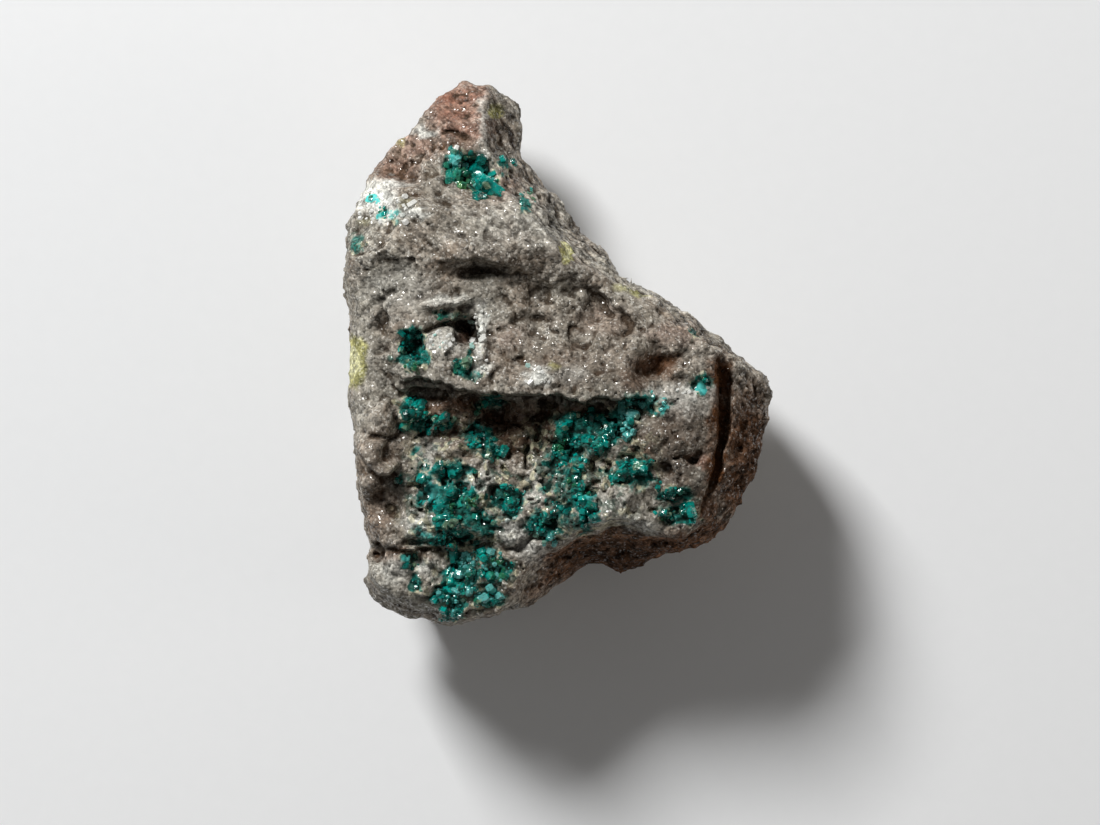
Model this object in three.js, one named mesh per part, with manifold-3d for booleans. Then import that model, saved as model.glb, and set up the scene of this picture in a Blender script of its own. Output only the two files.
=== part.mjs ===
// A small specimen of dioptase: one broken piece of grey-brown host rock, with crusts of emerald
// green crystals in the hollows of its front. It lies on its broken back, crystals up.
//
// Millimetres. +X runs across the front, +Y along it to the pointed horn, and +Z up out of the front.
// The origin is the middle of the bounding box, on the surface that the stone rests on.
import * as THREE from 'three';
import { ConvexGeometry } from 'three/addons/geometries/ConvexGeometry.js';
import { mergeVertices } from 'three/addons/utils/BufferGeometryUtils.js';
import Module from 'manifold-3d';

// Driving dimensions
const FRONT = 14.0; // height of the middle of the front above the rest surface
const BULGE = 7.0; // height at which the stone is widest
const CELL = 1.06; // grid step of the rock's faceted surface
const GRID_TURN = THREE.MathUtils.degToRad(24); // turns the grid, so that no row of facets follows the ledge
const GAP = 0.3; // clearance between a crystal crust and the rock it sits in
const CRUST_DEPTH = 1.2; // depth of the pocket that holds a crust
const CRYSTAL_RADIUS = 0.52;
const CRYSTAL_LENGTH = 1.75;
const RHOMB_SLOPE = 0.85; // fall of a crystal's three end faces, per unit of radius
const CRYSTAL_TILT = 0.9; // how far the crystals of a crust lean from its plane
const CRYSTAL_ROOT = 1.0; // depth at which a crystal starts, below the crust's plane
const CRUST_TOP = 0.25; // the crust between its crystals lies this far below its plane
const UNDERCUT = 0.16; // how fast the sides draw in below the bulge, per unit of height
const LEFT_EDGE = { drop: 1.8, reach: 0.7, from: 6, to: 13 }; // the front rounds off at its left
const LUMPS = [[0.3, 3.3], [0.16, 1.5]]; // broken relief of the sides: height and width of its lumps

// The outline of the stone seen from the front, clockwise from the tip of the horn
const outline = [
  [-6.3, 18.1], [-4.7, 17.8], [-2.9, 16.8], [-2.4, 15.2], [-2.3, 14.0], [-1.5, 11.8], [-0.1, 9.7],
  [1.8, 7.7], [3.0, 6.5], [4.2, 4.8], [6.1, 4.3], [7.9, 3.1], [9.1, 2.1], [10.5, 1.1], [12.2, -0.1],
  [13.7, -1.5], [14.3, -2.5], [14.0, -4.2], [13.2, -7.1], [12.7, -8.8], [11.9, -10.7], [11.0, -11.8],
  [8.8, -13.1], [5.9, -14.3], [4.2, -14.5], [3.3, -14.1], [2.0, -14.0], [1.3, -14.5], [-0.7, -16.3],
  [-1.5, -17.2], [-4.3, -17.7], [-6.2, -18.1], [-8.7, -17.7], [-11.2, -17.1], [-12.3, -16.5],
  [-12.8, -15.2], [-12.5, -12.9], [-13.0, -11.3], [-13.5, -9.0], [-13.6, -6.0], [-13.9, -1.7],
  [-13.7, 2.4], [-14.3, 5.3], [-14.0, 8.0], [-12.9, 10.4], [-12.1, 12.3], [-10.6, 14.3], [-9.4, 14.7],
  [-8.9, 16.2], [-7.6, 17.2],
];

// The rim, where the front breaks off to the sides, the same way round
const rim = [
  [-6.1, 17.8], [-5.3, 17.9], [-4.7, 17.7], [-4.8, 16.2], [-4.9, 14.7], [-4.9, 13.7], [-4.5, 12.9],
  [-4.0, 11.9], [-3.9, 10.9], [-3.1, 10.2], [-2.4, 9.7], [-1.7, 9.1], [-0.7, 7.7], [0.3, 6.1],
  [1.9, 5.3], [3.4, 4.7], [4.6, 4.4], [6.5, 3.2], [8.1, 1.9], [9.5, 0.7], [10.7, -0.3], [12.0, -0.9],
  [12.9, -1.8], [13.3, -3.1], [12.8, -5.8], [12.3, -8.1], [11.5, -9.6], [10.5, -10.5], [9.6, -11.3],
  [8.6, -12.0], [7.5, -12.3], [6.3, -12.0], [5.2, -11.5], [3.6, -11.3], [1.7, -11.9], [0.0, -12.7],
  [-1.3, -13.3], [-2.1, -14.0], [-2.7, -15.1], [-3.1, -16.5], [-3.9, -17.3], [-5.9, -17.7],
  [-7.5, -17.3], [-8.7, -16.7], [-10.2, -16.3], [-11.6, -15.6], [-12.4, -14.6], [-12.6, -13.8],
  [-12.3, -12.8], [-12.5, -11.5], [-12.9, -9.8], [-13.3, -7.8], [-13.4, -5.8], [-13.7, -3.1],
  [-13.7, 0.2], [-13.9, 3.5], [-14.1, 5.5], [-13.8, 8.1], [-13.1, 10.0], [-12.2, 11.7],
  [-11.1, 13.3], [-10.3, 14.4], [-9.3, 15.1], [-8.5, 16.3], [-7.5, 17.3],
];

// Height of the front above the rest surface, along the stone's length
const spine = [
  [-18.4, 11.4], [-17.3, 12.2], [-15.5, 12.6], [-13.2, 12.8], [-11.0, FRONT - 0.4], [-8.0, FRONT],
  [-5.0, FRONT - 0.1], [-1.8, FRONT], [2.0, FRONT + 0.2], [5.0, FRONT + 0.6], [7.0, FRONT + 1.2],
  [9.0, FRONT + 0.5], [11.0, FRONT - 0.9], [13.4, 12.2], [15.2, 11.0], [17.0, 9.4], [18.4, 8.2],
];

// Broad swells and hollows of the front: middle, half sizes along X and Y, turn in degrees, and rise
const swells = [
  { at: [-5.4, 5.4], size: [1.5, 0.5], turn: -4, rise: -1.5 }, // hollow under the upper ridge
  { at: [-1.5, 4.4], size: [2.2, 0.6], turn: -12, rise: -0.3 }, // its shallow end
  { at: [-2.9, -5.1], size: [3.7, 1.5], turn: 0, rise: -1.5 }, // deep part below the ledge
  { at: [3.0, -5.2], size: [2.4, 1.6], turn: 0, rise: 0.8 }, // raised crystal bank
  { at: [1.2, 2.6], size: [4.6, 2.2], turn: -20, rise: -0.9 }, // dished middle
  { at: [3.4, 4.6], size: [2.4, 1.3], turn: -40, rise: -0.7 },
  { at: [6.5, -0.8], size: [1.4, 0.7], turn: 20, rise: -1.1 }, // recess at the ledge's right end
  { at: [8.1, -1.3], size: [1.1, 0.5], turn: -10, rise: 0.8 }, // loose-looking chunk in it
  { at: [-7.4, 0.4], size: [1.2, 1.1], turn: 0, rise: 0.8 }, // pale boss inside the vug
  { at: [-5.3, 11.9], size: [1.5, 1.1], turn: -25, rise: -1.9 }, // crystal hollow in the horn
  { at: [-8.0, -5.6], size: [2.6, 1.6], turn: 0, rise: -0.8 }, // crystal field's upper left
  { at: [7.4, -5.6], size: [2.6, 3.0], turn: 0, rise: 1.2 }, // shelf beside the groove
  { at: [2.6, -9.8], size: [4.0, 1.8], turn: 10, rise: 0.6 }, // brink above the arch
  { at: [-12.0, -5.2], size: [1.4, 2.2], turn: 0, rise: 0.9 }, // tan block down the left side
  { at: [-11.5, -10.2], size: [1.2, 1.9], turn: 0, rise: -1.1 }, // lower grey block
  { at: [13.0, -5.0], size: [1.8, 4.5], turn: 0, rise: -1.5 }, // outer block beyond the groove
];

// Broken steps: the rock stands high on the left of each path, falling away over its reach
const lips = [
  { path: [[-11.2, -2.0], [-9.0, -1.7], [-7.2, -2.3], [-4.9, -2.7], [-1.5, -2.8], [1.8, -3.1],
           [3.9, -3.1], [5.5, -3.1], [6.8, -2.9]],
    rise: 2.1, reach: 3.8 }, // main ledge
  { path: [[4.2, -2.6], [5.4, -1.4], [6.4, -0.6], [7.6, 0.1], [9.2, 0.4]],
    rise: 0.2, reach: 2.0 }, // soft step above its right end
  { path: [[-8.4, 6.0], [-6.4, 6.2], [-4.4, 5.9], [-2.6, 5.4]], rise: 0.9, reach: 1.6 }, // upper ridge
  { path: [[-1.9, -13.7], [0.1, -12.7], [1.7, -11.9], [3.5, -11.3], [5.2, -11.5], [6.3, -12.0],
           [8.1, -12.2]],
    rise: 0.9, reach: 1.5 }, // brink of the arch
  { path: [[-12.6, -12.7], [-9.3, -12.9], [-7.5, -12.8], [-5.6, -12.3], [-3.6, -12.0]],
    rise: 0.9, reach: 2.0 }, // foot of the crystal field
  { path: [[-13.5, -5.8], [-12.7, -7.0], [-11.9, -8.2], [-11.1, -8.1], [-10.3, -7.3]],
    rise: 1.5, reach: 1.8 }, // lower edge of the tan block
];

// Fracture faces that bound the stone: the middle of each, the way it faces, and its half size
const chips = [
  { at: [-8.6, 15.2, 10.2], facing: [-0.55, 0.4, 1], size: 4 }, // stained face of the horn
  { at: [-12.0, 10.0, 12.2], facing: [-0.85, 0.6, 0.9], size: 4 }, // shoulder at its left
  { at: [6.0, 2.3, 14.0], facing: [0.4, 0.62, 0.68], size: 3.5 }, // bright facet at the right rim
  { at: [11.9, -4.0, 12.6], facing: [1, 0.1, 0.8], size: 5 }, // outer block
  { at: [10.6, -9.6, 12.8], facing: [0.8, -0.55, 0.65], size: 4 },
  { at: [0, 7.5, 0], facing: [-0.1, 0.5, -1], size: 12 }, // underside of the horn
  { at: [9.5, -4, 0], facing: [1, -0.1, -0.75], size: 9 },
  { at: [6, -12.5, 0], facing: [0.5, -1, -0.9], size: 8 },
  { at: [-7, -16, 0], facing: [-0.2, -1, -0.6], size: 8 },
  { at: [-11.8, -8, 0], facing: [-1, -0.35, -0.35], size: 9 },
  { at: [-12, 5, 0], facing: [-1, 0.3, -0.6], size: 9 },
  { at: [4, 2.8, 0], facing: [0.75, 0.8, -0.7], size: 9 },
  { at: [-9.5, 11, 1.0], facing: [-0.8, 0.7, -0.9], size: 9 },
  { at: [-13.2, 1.0, 4.0], facing: [-1, -0.5, -0.25], size: 5 },
  { at: [-3.0, -16.6, 4.5], facing: [0.3, -1, -0.2], size: 4 },
  { at: [1.0, 9.5, 6.0], facing: [0.8, 0.9, -0.3], size: 5 },
];

// Round-ended hollows cut into the front: a path, its height, and the radii across and up
const tubes = [
  // Under the ledge
  { path: [[-10.4, -2.6], [-8.6, -2.7], [-7.2, -3.0]], height: 14.0, across: 0.45, up: 0.9 },
  { path: [[-6.4, -3.2], [-4.6, -3.6], [-2.6, -3.6]], height: 13.7, across: 0.75, up: 1.2 },
  { path: [[-1.6, -3.3], [0.2, -3.5]], height: 14.0, across: 0.4, up: 0.9 },
  { path: [[1.0, -3.8], [2.6, -3.9], [3.9, -4.2]], height: 13.9, across: 0.4, up: 0.8 },
  { path: [[-4.9, -4.0], [-3.7, -4.8]], height: 13.2, across: 0.9, up: 1.5 }, // the deepest hole there
  { path: [[-7.0, 1.9], [-6.0, 1.8], [-5.3, 0.4]], height: 14.3, across: 0.7, up: 2.4 }, // vug
  { path: [[-10.2, -0.3], [-9.2, 1.0]], height: 14.9, across: 0.8, up: 1.4 }, // its left arm
  { path: [[-13.4, -13.3], [-11.2, -13.2]], height: 11.6, across: 0.6, up: 1.4 }, // side notch
];

// The upright groove between the crystal field and the outer block
const groove = {
  path: [[11.1, -0.6], [11.1, -2.6], [11.0, -5.2], [10.6, -7.0], [10.2, -8.8], [9.6, -10.6]],
  halfWidth: 0.55, depth: 1.7,
};

// Crystal crusts: outline on the front, spacing and size of the crystals, and how deep they sit
const crusts = {
  dioptase_horn: { shape: [[-7.2, 12.9], [-6.0, 13.2], [-4.9, 12.4], [-4.1, 11.9], [-4.2, 11.0],
    [-5.4, 10.5], [-6.9, 10.7], [-7.4, 11.6]], spacing: 1.0, size: 1.0 },
  druse_shoulder: { shape: [[-13.0, 9.8], [-12.2, 10.7], [-10.6, 10.4], [-9.6, 9.4], [-10.8, 8.7],
    [-12.6, 8.9]], spacing: 0.7, size: 0.6 },
  dioptase_vug_left: { shape: [[-10.4, -0.6], [-10.1, 0.7], [-9.2, 1.5], [-8.5, 0.8], [-8.8, -0.5],
    [-9.5, -1.0]], spacing: 0.85, size: 0.85, sink: 0.8 },
  dioptase_vug_right: { shape: [[-6.8, -0.3], [-6.2, 0.2], [-5.4, -0.8], [-4.9, -1.6], [-5.8, -1.7]],
    spacing: 0.8, size: 0.8, sink: 0.3 },
  dioptase_ledge_left: { shape: [[-10.6, -3.2], [-9.4, -3.0], [-8.4, -4.4], [-7.0, -4.7],
    [-7.4, -5.4], [-9.0, -5.4], [-10.4, -4.6]], spacing: 1.0, size: 0.9 },
  dioptase_ledge_middle: { shape: [[-5.7, -5.4], [-4.4, -5.3], [-3.6, -6.0], [-4.4, -6.7],
    [-5.5, -6.3]], spacing: 0.9, size: 0.85 },
  dioptase_field_left: { shape: [[-9.9, -6.9], [-8.6, -6.3], [-6.6, -7.0], [-5.4, -7.6],
    [-5.5, -9.4], [-5.8, -11.4], [-7.6, -12.0], [-8.9, -11.0], [-9.7, -9.2], [-10.0, -8.0]],
    spacing: 1.25, size: 1.15 },
  dioptase_field_middle: { shape: [[-4.7, -9.0], [-3.4, -8.8], [-2.4, -9.6], [-2.5, -10.8],
    [-3.8, -11.3], [-4.8, -10.7]], spacing: 1.1, size: 1.1 },
  dioptase_field_right: { shape: [[-1.0, -8.1], [-0.4, -5.9], [1.2, -5.0], [2.9, -4.7], [4.6, -4.9],
    [5.4, -4.2], [6.2, -4.6], [5.0, -6.5], [5.9, -8.1], [6.2, -9.2], [4.0, -9.6], [2.4, -10.3],
    [0.0, -10.7], [-0.9, -9.9]], spacing: 1.3, size: 1.15 },
  dioptase_field_edge: { shape: [[-1.7, -12.0], [-0.6, -11.4], [1.2, -11.2], [2.3, -10.9],
    [2.0, -11.3], [0.4, -11.8], [-1.1, -12.4]], spacing: 0.8, size: 0.85 },
  dioptase_foot: { shape: [[-7.6, -13.8], [-6.6, -13.5], [-5.2, -13.5], [-3.8, -13.6], [-3.5, -14.4],
    [-4.4, -15.2], [-5.9, -15.6], [-6.2, -16.6], [-7.5, -16.9], [-7.9, -16.0], [-7.5, -15.1]],
    spacing: 1.15, size: 1.1 },
  dioptase_foot_spot: { shape: [[-5.4, -16.1], [-4.7, -15.8], [-4.1, -16.0], [-4.2, -16.6],
    [-5.1, -16.7]], spacing: 0.7, size: 0.85 },
  dioptase_right_spot: { shape: [[6.5, -10.0], [7.6, -9.8], [8.9, -10.2], [9.1, -10.9], [8.0, -11.5],
    [6.8, -11.1]], spacing: 0.9, size: 0.9 },
};

// A repeatable stream of numbers from 0 to 1
function randomStream(seed) {
  let state = seed;
  return () => {
    state = (Math.imul(state, 1664525) + 1013904223) >>> 0;
    return state / 4294967296;
  };
}

// A repeatable number from -1 to 1 for each point of a whole-number lattice
function latticeValue(i, j, k) {
  let h = Math.imul(i, 374761393) + Math.imul(j, 668265263) + Math.imul(k, 1274126177);
  h = Math.imul(h ^ (h >>> 13), 1103515245);
  return ((h ^ (h >>> 16)) >>> 0) / 2147483648 - 1;
}

// Smooth noise from -1 to 1, with one lump about every unit
function noise(x, y, z) {
  const [i, j, k] = [Math.floor(x), Math.floor(y), Math.floor(z)];
  const ease = (t) => t * t * (3 - 2 * t);
  const [u, v, w] = [ease(x - i), ease(y - j), ease(z - k)];
  const mix = THREE.MathUtils.lerp;
  const row = (dj, dk) => mix(latticeValue(i, j + dj, k + dk), latticeValue(i + 1, j + dj, k + dk), u);
  return mix(mix(row(0, 0), row(1, 0), v), mix(row(0, 1), row(1, 1), v), w);
}

// The nearest place on a path: its distance, its share of the way along, and the side (+1 is left)
function nearestOnPath(path, x, y) {
  let best = { distance: Infinity, along: 0, side: 1 };
  for (let s = 0; s < path.length - 1; s++) {
    const [ax, ay] = path[s];
    const [ux, uy] = [path[s + 1][0] - ax, path[s + 1][1] - ay];
    const t = THREE.MathUtils.clamp(((x - ax) * ux + (y - ay) * uy) / (ux * ux + uy * uy), 0, 1);
    const distance = Math.hypot(x - ax - t * ux, y - ay - t * uy);
    if (distance < best.distance) {
      const side = Math.sign(ux * (y - ay) - uy * (x - ax)) || 1;
      best = { distance, along: (s + t) / (path.length - 1), side };
    }
  }
  return best;
}

// Signed distance to a closed line, negative inside it
function ringDistance(ring, x, y) {
  let inside = false;
  ring.forEach(([ax, ay], n) => {
    const [bx, by] = ring[(n + 1) % ring.length];
    if (ay > y !== by > y && x < ((bx - ax) * (y - ay)) / (by - ay) + ax) inside = !inside;
  });
  const { distance } = nearestOnPath([...ring, ring[0]], x, y);
  return inside ? -distance : distance;
}

function spineHeight(y) {
  const next = THREE.MathUtils.clamp(spine.findIndex(([at]) => at > y), 1, spine.length - 1);
  const [[y0, z0], [y1, z1]] = [spine[next - 1], spine[next]];
  return THREE.MathUtils.mapLinear(THREE.MathUtils.clamp(y, y0, y1), y0, y1, z0, z1);
}

// Fades a feature out towards both ends of its path
const endFade = (along) => Math.min(1, 5 * along, 5 * (1 - along));

// Height of the front of the stone over a point
function frontHeight(x, y) {
  let z = spineHeight(y);
  for (const { at, size, turn, rise } of swells) {
    const offset = new THREE.Vector2(x - at[0], y - at[1]);
    offset.rotateAround(new THREE.Vector2(), -THREE.MathUtils.degToRad(turn));
    z += rise * Math.exp(-((offset.x / size[0]) ** 2) - (offset.y / size[1]) ** 2);
  }
  for (const { path, rise, reach } of lips) {
    const { distance, along, side } = nearestOnPath(path, x, y);
    if (side > 0) z += rise * endFade(along) * Math.exp(-((distance / reach) ** 1.5));
  }
  const leftSide = THREE.MathUtils.smoothstep(-x, LEFT_EDGE.from, LEFT_EDGE.to);
  z -= LEFT_EDGE.drop * leftSide * Math.exp(ringDistance(outline, x, y) / LEFT_EDGE.reach);
  const { distance, along } = nearestOnPath(groove.path, x, y);
  if (distance < groove.halfWidth * (1.1 - 0.6 * along)) z -= groove.depth * (1 - 0.75 * along);
  return z + 0.22 * noise(x / 2.1, y / 2.1, 7.5);
}

// Negative inside the stone, and about a distance near its surface. The sides run from the outline,
// at the bulge, up to the rim of the front, and draw in below the bulge.
function uncutStone(x, y, z) {
  const up = THREE.MathUtils.clamp((z - BULGE) / (spineHeight(y) - BULGE), 0, 1.2);
  let f = THREE.MathUtils.lerp(ringDistance(outline, x, y), ringDistance(rim, x, y), up);
  f += UNDERCUT * Math.max(0, BULGE - z);
  f = Math.max(f, (z - frontHeight(x, y)) * 0.9, -0.5 - z);
  for (const { at, facing, size } of chips) {
    const from = new THREE.Vector3(x - at[0], y - at[1], z - at[2]);
    const beyond = Math.max(0, from.length() - size);
    f = Math.max(f, from.dot(new THREE.Vector3(...facing).normalize()) - 1.3 * beyond);
  }
  const rough = LUMPS.reduce((sum, [rise, wide]) => sum + rise * noise(x / wide, y / wide, z / wide), 0);
  return f + rough * THREE.MathUtils.smoothstep(frontHeight(x, y) - z, 0.5, 3);
}

// The same with its hollows cut
function stone(x, y, z) {
  let f = uncutStone(x, y, z);
  for (const { path, height, across, up } of tubes) {
    const { distance, along } = nearestOnPath(path, x, y);
    const fade = 0.45 + 0.55 * endFade(along);
    const reach = Math.hypot(distance / (across * fade), (z - height) / (up * fade));
    f = Math.max(f, (1 - reach) * Math.min(across, up));
  }
  return f;
}

// Height of the surface over a point, before its hollows are cut
function surfaceHeight(x, y) {
  let z = FRONT + 4;
  while (z > BULGE && uncutStone(x, y, z) > 0) z -= 0.05;
  return z;
}

// Fills grid points until no two filled ones meet only across the diagonal of a grid square,
// which would pinch the surface to an edge that four faces share
function fillDiagonals(values, count, index) {
  const filled = (n) => values[n] < 0;
  for (let again = true; again; ) {
    again = false;
    for (let k = 0; k < count[2] - 1; k++)
      for (let j = 0; j < count[1] - 1; j++)
        for (let i = 0; i < count[0] - 1; i++) {
          const [o, x, y, z] = [index(i, j, k), index(i + 1, j, k), index(i, j + 1, k), index(i, j, k + 1)];
          const squares = [[o, x, y, index(i + 1, j + 1, k)], [o, y, z, index(i, j + 1, k + 1)],
            [o, z, x, index(i + 1, j, k + 1)]];
          for (const [a, b, c, d] of squares) {
            if (filled(a) !== filled(d) || filled(b) !== filled(c) || filled(a) === filled(b)) continue;
            values[filled(a) ? (values[b] < values[c] ? b : c) : values[a] < values[d] ? a : d] = -0.05;
            again = true;
          }
        }
  }
}

// Surface nets on a grid given by its planes along X, Y and Z: one vertex in each grid cell that the
// surface crosses, and a quad round each grid edge that it crosses
function meshOfField(field, planes) {
  const count = planes.map((list) => list.length);
  const index = (i, j, k) => i + count[0] * (j + count[1] * k);
  const values = new Float32Array(count[0] * count[1] * count[2]);
  for (let k = 0; k < count[2]; k++)
    for (let j = 0; j < count[1]; j++)
      for (let i = 0; i < count[0]; i++)
        values[index(i, j, k)] = field(planes[0][i], planes[1][j], planes[2][k]);
  fillDiagonals(values, count, index);

  const corners = [...Array(8).keys()].map((c) => [c & 1, (c >> 1) & 1, c >> 2]);
  const edges = corners.flatMap((c, n) =>
    [1, 2, 4].filter((bit) => !(n & bit)).map((bit) => [c, corners[n | bit]]));
  const positions = [];
  const vertexOf = new Map();
  for (let k = 0; k < count[2] - 1; k++)
    for (let j = 0; j < count[1] - 1; j++)
      for (let i = 0; i < count[0] - 1; i++) {
        const sum = [0, 0, 0];
        let crossings = 0;
        for (const [p, q] of edges) {
          const a = values[index(i + p[0], j + p[1], k + p[2])];
          const b = values[index(i + q[0], j + q[1], k + q[2])];
          if (a < 0 === b < 0) continue;
          const t = a / (a - b);
          for (let axis = 0; axis < 3; axis++) sum[axis] += p[axis] + t * (q[axis] - p[axis]);
          crossings++;
        }
        if (!crossings) continue;
        vertexOf.set(index(i, j, k), positions.length / 3);
        [i, j, k].forEach((n, axis) => {
          const [from, to] = [planes[axis][n], planes[axis][n + 1]];
          positions.push(from + ((to - from) * sum[axis]) / crossings);
        });
      }

  const triangles = [];
  const step = [[1, 0, 0], [0, 1, 0], [0, 0, 1]];
  const distance = (a, b) => Math.hypot(...[0, 1, 2].map((n) => positions[3 * a + n] - positions[3 * b + n]));
  for (let k = 1; k < count[2] - 1; k++)
    for (let j = 1; j < count[1] - 1; j++)
      for (let i = 1; i < count[0] - 1; i++)
        for (let axis = 0; axis < 3; axis++) {
          const [di, dj, dk] = step[axis];
          const here = values[index(i, j, k)] < 0;
          if (here === values[index(i + di, j + dj, k + dk)] < 0) continue;
          const u = step[(axis + 1) % 3];
          const v = step[(axis + 2) % 3];
          const quad = [[1, 1], [0, 1], [0, 0], [1, 0]].map(([a, b]) =>
            vertexOf.get(index(i - a * u[0] - b * v[0], j - a * u[1] - b * v[1], k - a * u[2] - b * v[2])));
          const [a, b, c, d] = here ? quad : quad.reverse();
          if (distance(a, c) < distance(b, d)) triangles.push(a, b, c, a, c, d);
          else triangles.push(a, b, d, b, c, d);
        }
  const geometry = new THREE.BufferGeometry();
  geometry.setAttribute('position', new THREE.Float32BufferAttribute(positions, 3));
  geometry.setIndex(triangles);
  return geometry;
}

const wasm = await Module();
wasm.setup();

// A closed three.js geometry as a solid that can be joined and cut
function solidOf(geometry) {
  const bare = geometry.clone();
  bare.deleteAttribute('normal');
  bare.deleteAttribute('uv');
  const merged = mergeVertices(bare, 1e-4);
  const vertProperties = merged.attributes.position.array;
  const triVerts = new Uint32Array(merged.index.array);
  return new wasm.Manifold(new wasm.Mesh({ numProp: 3, vertProperties, triVerts }));
}

function geometryOf(solid) {
  const { vertProperties, triVerts } = solid.getMesh();
  const geometry = new THREE.BufferGeometry();
  geometry.setAttribute('position', new THREE.BufferAttribute(new Float32Array(vertProperties), 3));
  geometry.setIndex(new THREE.BufferAttribute(new Uint32Array(triVerts), 1));
  return geometry;
}

// The biggest of a solid's separate bodies
function largestBody(solid) {
  return solid.decompose().reduce((a, b) => (b.volume() > a.volume() ? b : a));
}

// The outline moved outwards by a distance
function grown(shape, by) {
  const turn = shape.reduce((sum, [x, y], n) => {
    const [nx, ny] = shape[(n + 1) % shape.length];
    return sum + (x * ny - nx * y);
  }, 0);
  return shape.map(([x, y], n) => {
    const [ax, ay] = shape[(n + shape.length - 1) % shape.length];
    const [bx, by2] = shape[(n + 1) % shape.length];
    const out = new THREE.Vector2(by2 - ay, ax - bx).normalize().multiplyScalar(Math.sign(turn) * by);
    return [x + out.x, y + out.y];
  });
}

// The plane that lies best on the front over a shape: z = c + a (x - mx) + b (y - my)
function restingPlane(shape) {
  const mean = (values) => values.reduce((a, b) => a + b) / values.length;
  const [mx, my] = [mean(shape.map((p) => p[0])), mean(shape.map((p) => p[1]))];
  const points = shape.flatMap(([x, y]) => [0.35, 0.8].map((s) => [s * (x - mx), s * (y - my)]));
  const heights = points.map(([dx, dy]) => surfaceHeight(mx + dx, my + dy));
  const c = mean(heights);
  const sum = (f) => points.reduce((total, p, n) => total + f(p, heights[n] - c), 0);
  const [xx, xy, yy] = [sum((p) => p[0] ** 2), sum((p) => p[0] * p[1]), sum((p) => p[1] ** 2)];
  const [xz, yz] = [sum((p, z) => p[0] * z), sum((p, z) => p[1] * z)];
  const det = xx * yy - xy * xy;
  const [a, b] = [(xz * yy - yz * xy) / det, (yz * xx - xz * xy) / det];
  const height = (x, y) => c + a * (x - mx) + b * (y - my);
  return { height, normal: new THREE.Vector3(-a, -b, 1).normalize() };
}

// An upright prism over a shape, whose two ends follow a plane
function slab(shape, plane, from, to) {
  const geometry = new THREE.ExtrudeGeometry(
    new THREE.Shape(shape.map(([x, y]) => new THREE.Vector2(x, y))),
    { depth: to - from, bevelEnabled: false });
  const position = geometry.attributes.position;
  for (let n = 0; n < position.count; n++) {
    const [x, y, z] = [position.getX(n), position.getY(n), position.getZ(n)];
    position.setZ(n, z + from + plane.height(x, y));
  }
  return solidOf(geometry);
}

// A six-sided prism that ends in three sloping faces, standing on the origin
function crystal(radius, length) {
  const points = [new THREE.Vector3(0, 0, length)];
  for (let corner = 0; corner < 6; corner++) {
    const [x, y] = [radius * Math.cos((corner * Math.PI) / 3), radius * Math.sin((corner * Math.PI) / 3)];
    const fall = RHOMB_SLOPE * radius * (corner % 2 ? 0.5 : 1);
    points.push(new THREE.Vector3(x, y, 0), new THREE.Vector3(x, y, length - fall));
  }
  return new ConvexGeometry(points);
}

const inShape = (shape, x, y) =>
  shape.reduce((inside, [ax, ay], n) => {
    const [bx, by] = shape[(n + 1) % shape.length];
    return ay > y !== by > y && x < ((bx - ax) * (y - ay)) / (by - ay) + ax ? !inside : inside;
  }, false);

// A crust: a slab sunk in its pocket, with crystals grown out of it at many angles
function crustOf({ shape, spacing, size, sink = 0 }, seed) {
  const random = randomStream(seed);
  const plane = restingPlane(shape);
  let crust = slab(shape, plane, -CRUST_DEPTH - sink, -CRUST_TOP - sink);
  const [xs, ys] = [shape.map((p) => p[0]), shape.map((p) => p[1])];
  const upright = new THREE.Vector3(0, 0, 1);
  for (let x = Math.min(...xs); x < Math.max(...xs); x += spacing)
    for (let y = Math.min(...ys); y < Math.max(...ys); y += spacing) {
      const [cx, cy] = [x + spacing * 0.7 * random(), y + spacing * 0.7 * random()];
      const scale = size * (0.75 + 0.5 * random());
      const tilt = new THREE.Vector3(random() - 0.5, random() - 0.5, 0).multiplyScalar(CRYSTAL_TILT);
      const spin = 2 * Math.PI * random();
      if (!inShape(shape, cx, cy)) continue;
      const axis = plane.normal.clone().add(tilt).normalize();
      const lies = new THREE.Quaternion().setFromUnitVectors(upright, axis);
      const turn = new THREE.Quaternion().setFromAxisAngle(upright, spin);
      const place = new THREE.Matrix4().compose(
        new THREE.Vector3(cx, cy, plane.height(cx, cy) - CRYSTAL_ROOT - sink), lies.multiply(turn),
        new THREE.Vector3(scale, scale, scale));
      crust = crust.add(solidOf(crystal(CRYSTAL_RADIUS, CRYSTAL_LENGTH).applyMatrix4(place)));
    }
  return largestBody(crust.intersect(slab(shape, plane, -CRUST_DEPTH - sink, 4)));
}

// The rock, with its pockets and a flat face to rest on
const every = (from, to, step) =>
  Array.from({ length: Math.ceil((to - from) / step) + 1 }, (_, n) => from + n * step);
const turned = outline.map(([x, y]) => new THREE.Vector2(x, y).rotateAround(new THREE.Vector2(), -GRID_TURN));
const [xs, ys] = [turned.map(({ x }) => x), turned.map(({ y }) => y)];
const across = every(Math.min(...xs) - 2, Math.max(...xs) + 2, CELL);
const lengthways = every(Math.min(...ys) - 2, Math.max(...ys) + 2, CELL);
const upwards = [...every(-3.5, BULGE, 1.5 * CELL), ...every(BULGE + 1.3 * CELL, FRONT + 5, CELL)];
const turnedStone = (u, v, z) => {
  const { x, y } = new THREE.Vector2(u, v).rotateAround(new THREE.Vector2(), GRID_TURN);
  return stone(x, y, z);
};
let rock = solidOf(meshOfField(turnedStone, [across, lengthways, upwards]).rotateZ(GRID_TURN));
const belowRest = new THREE.BoxGeometry(60, 60, 10).translate(0, 0, -5);
rock = rock.subtract(solidOf(belowRest));

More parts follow.
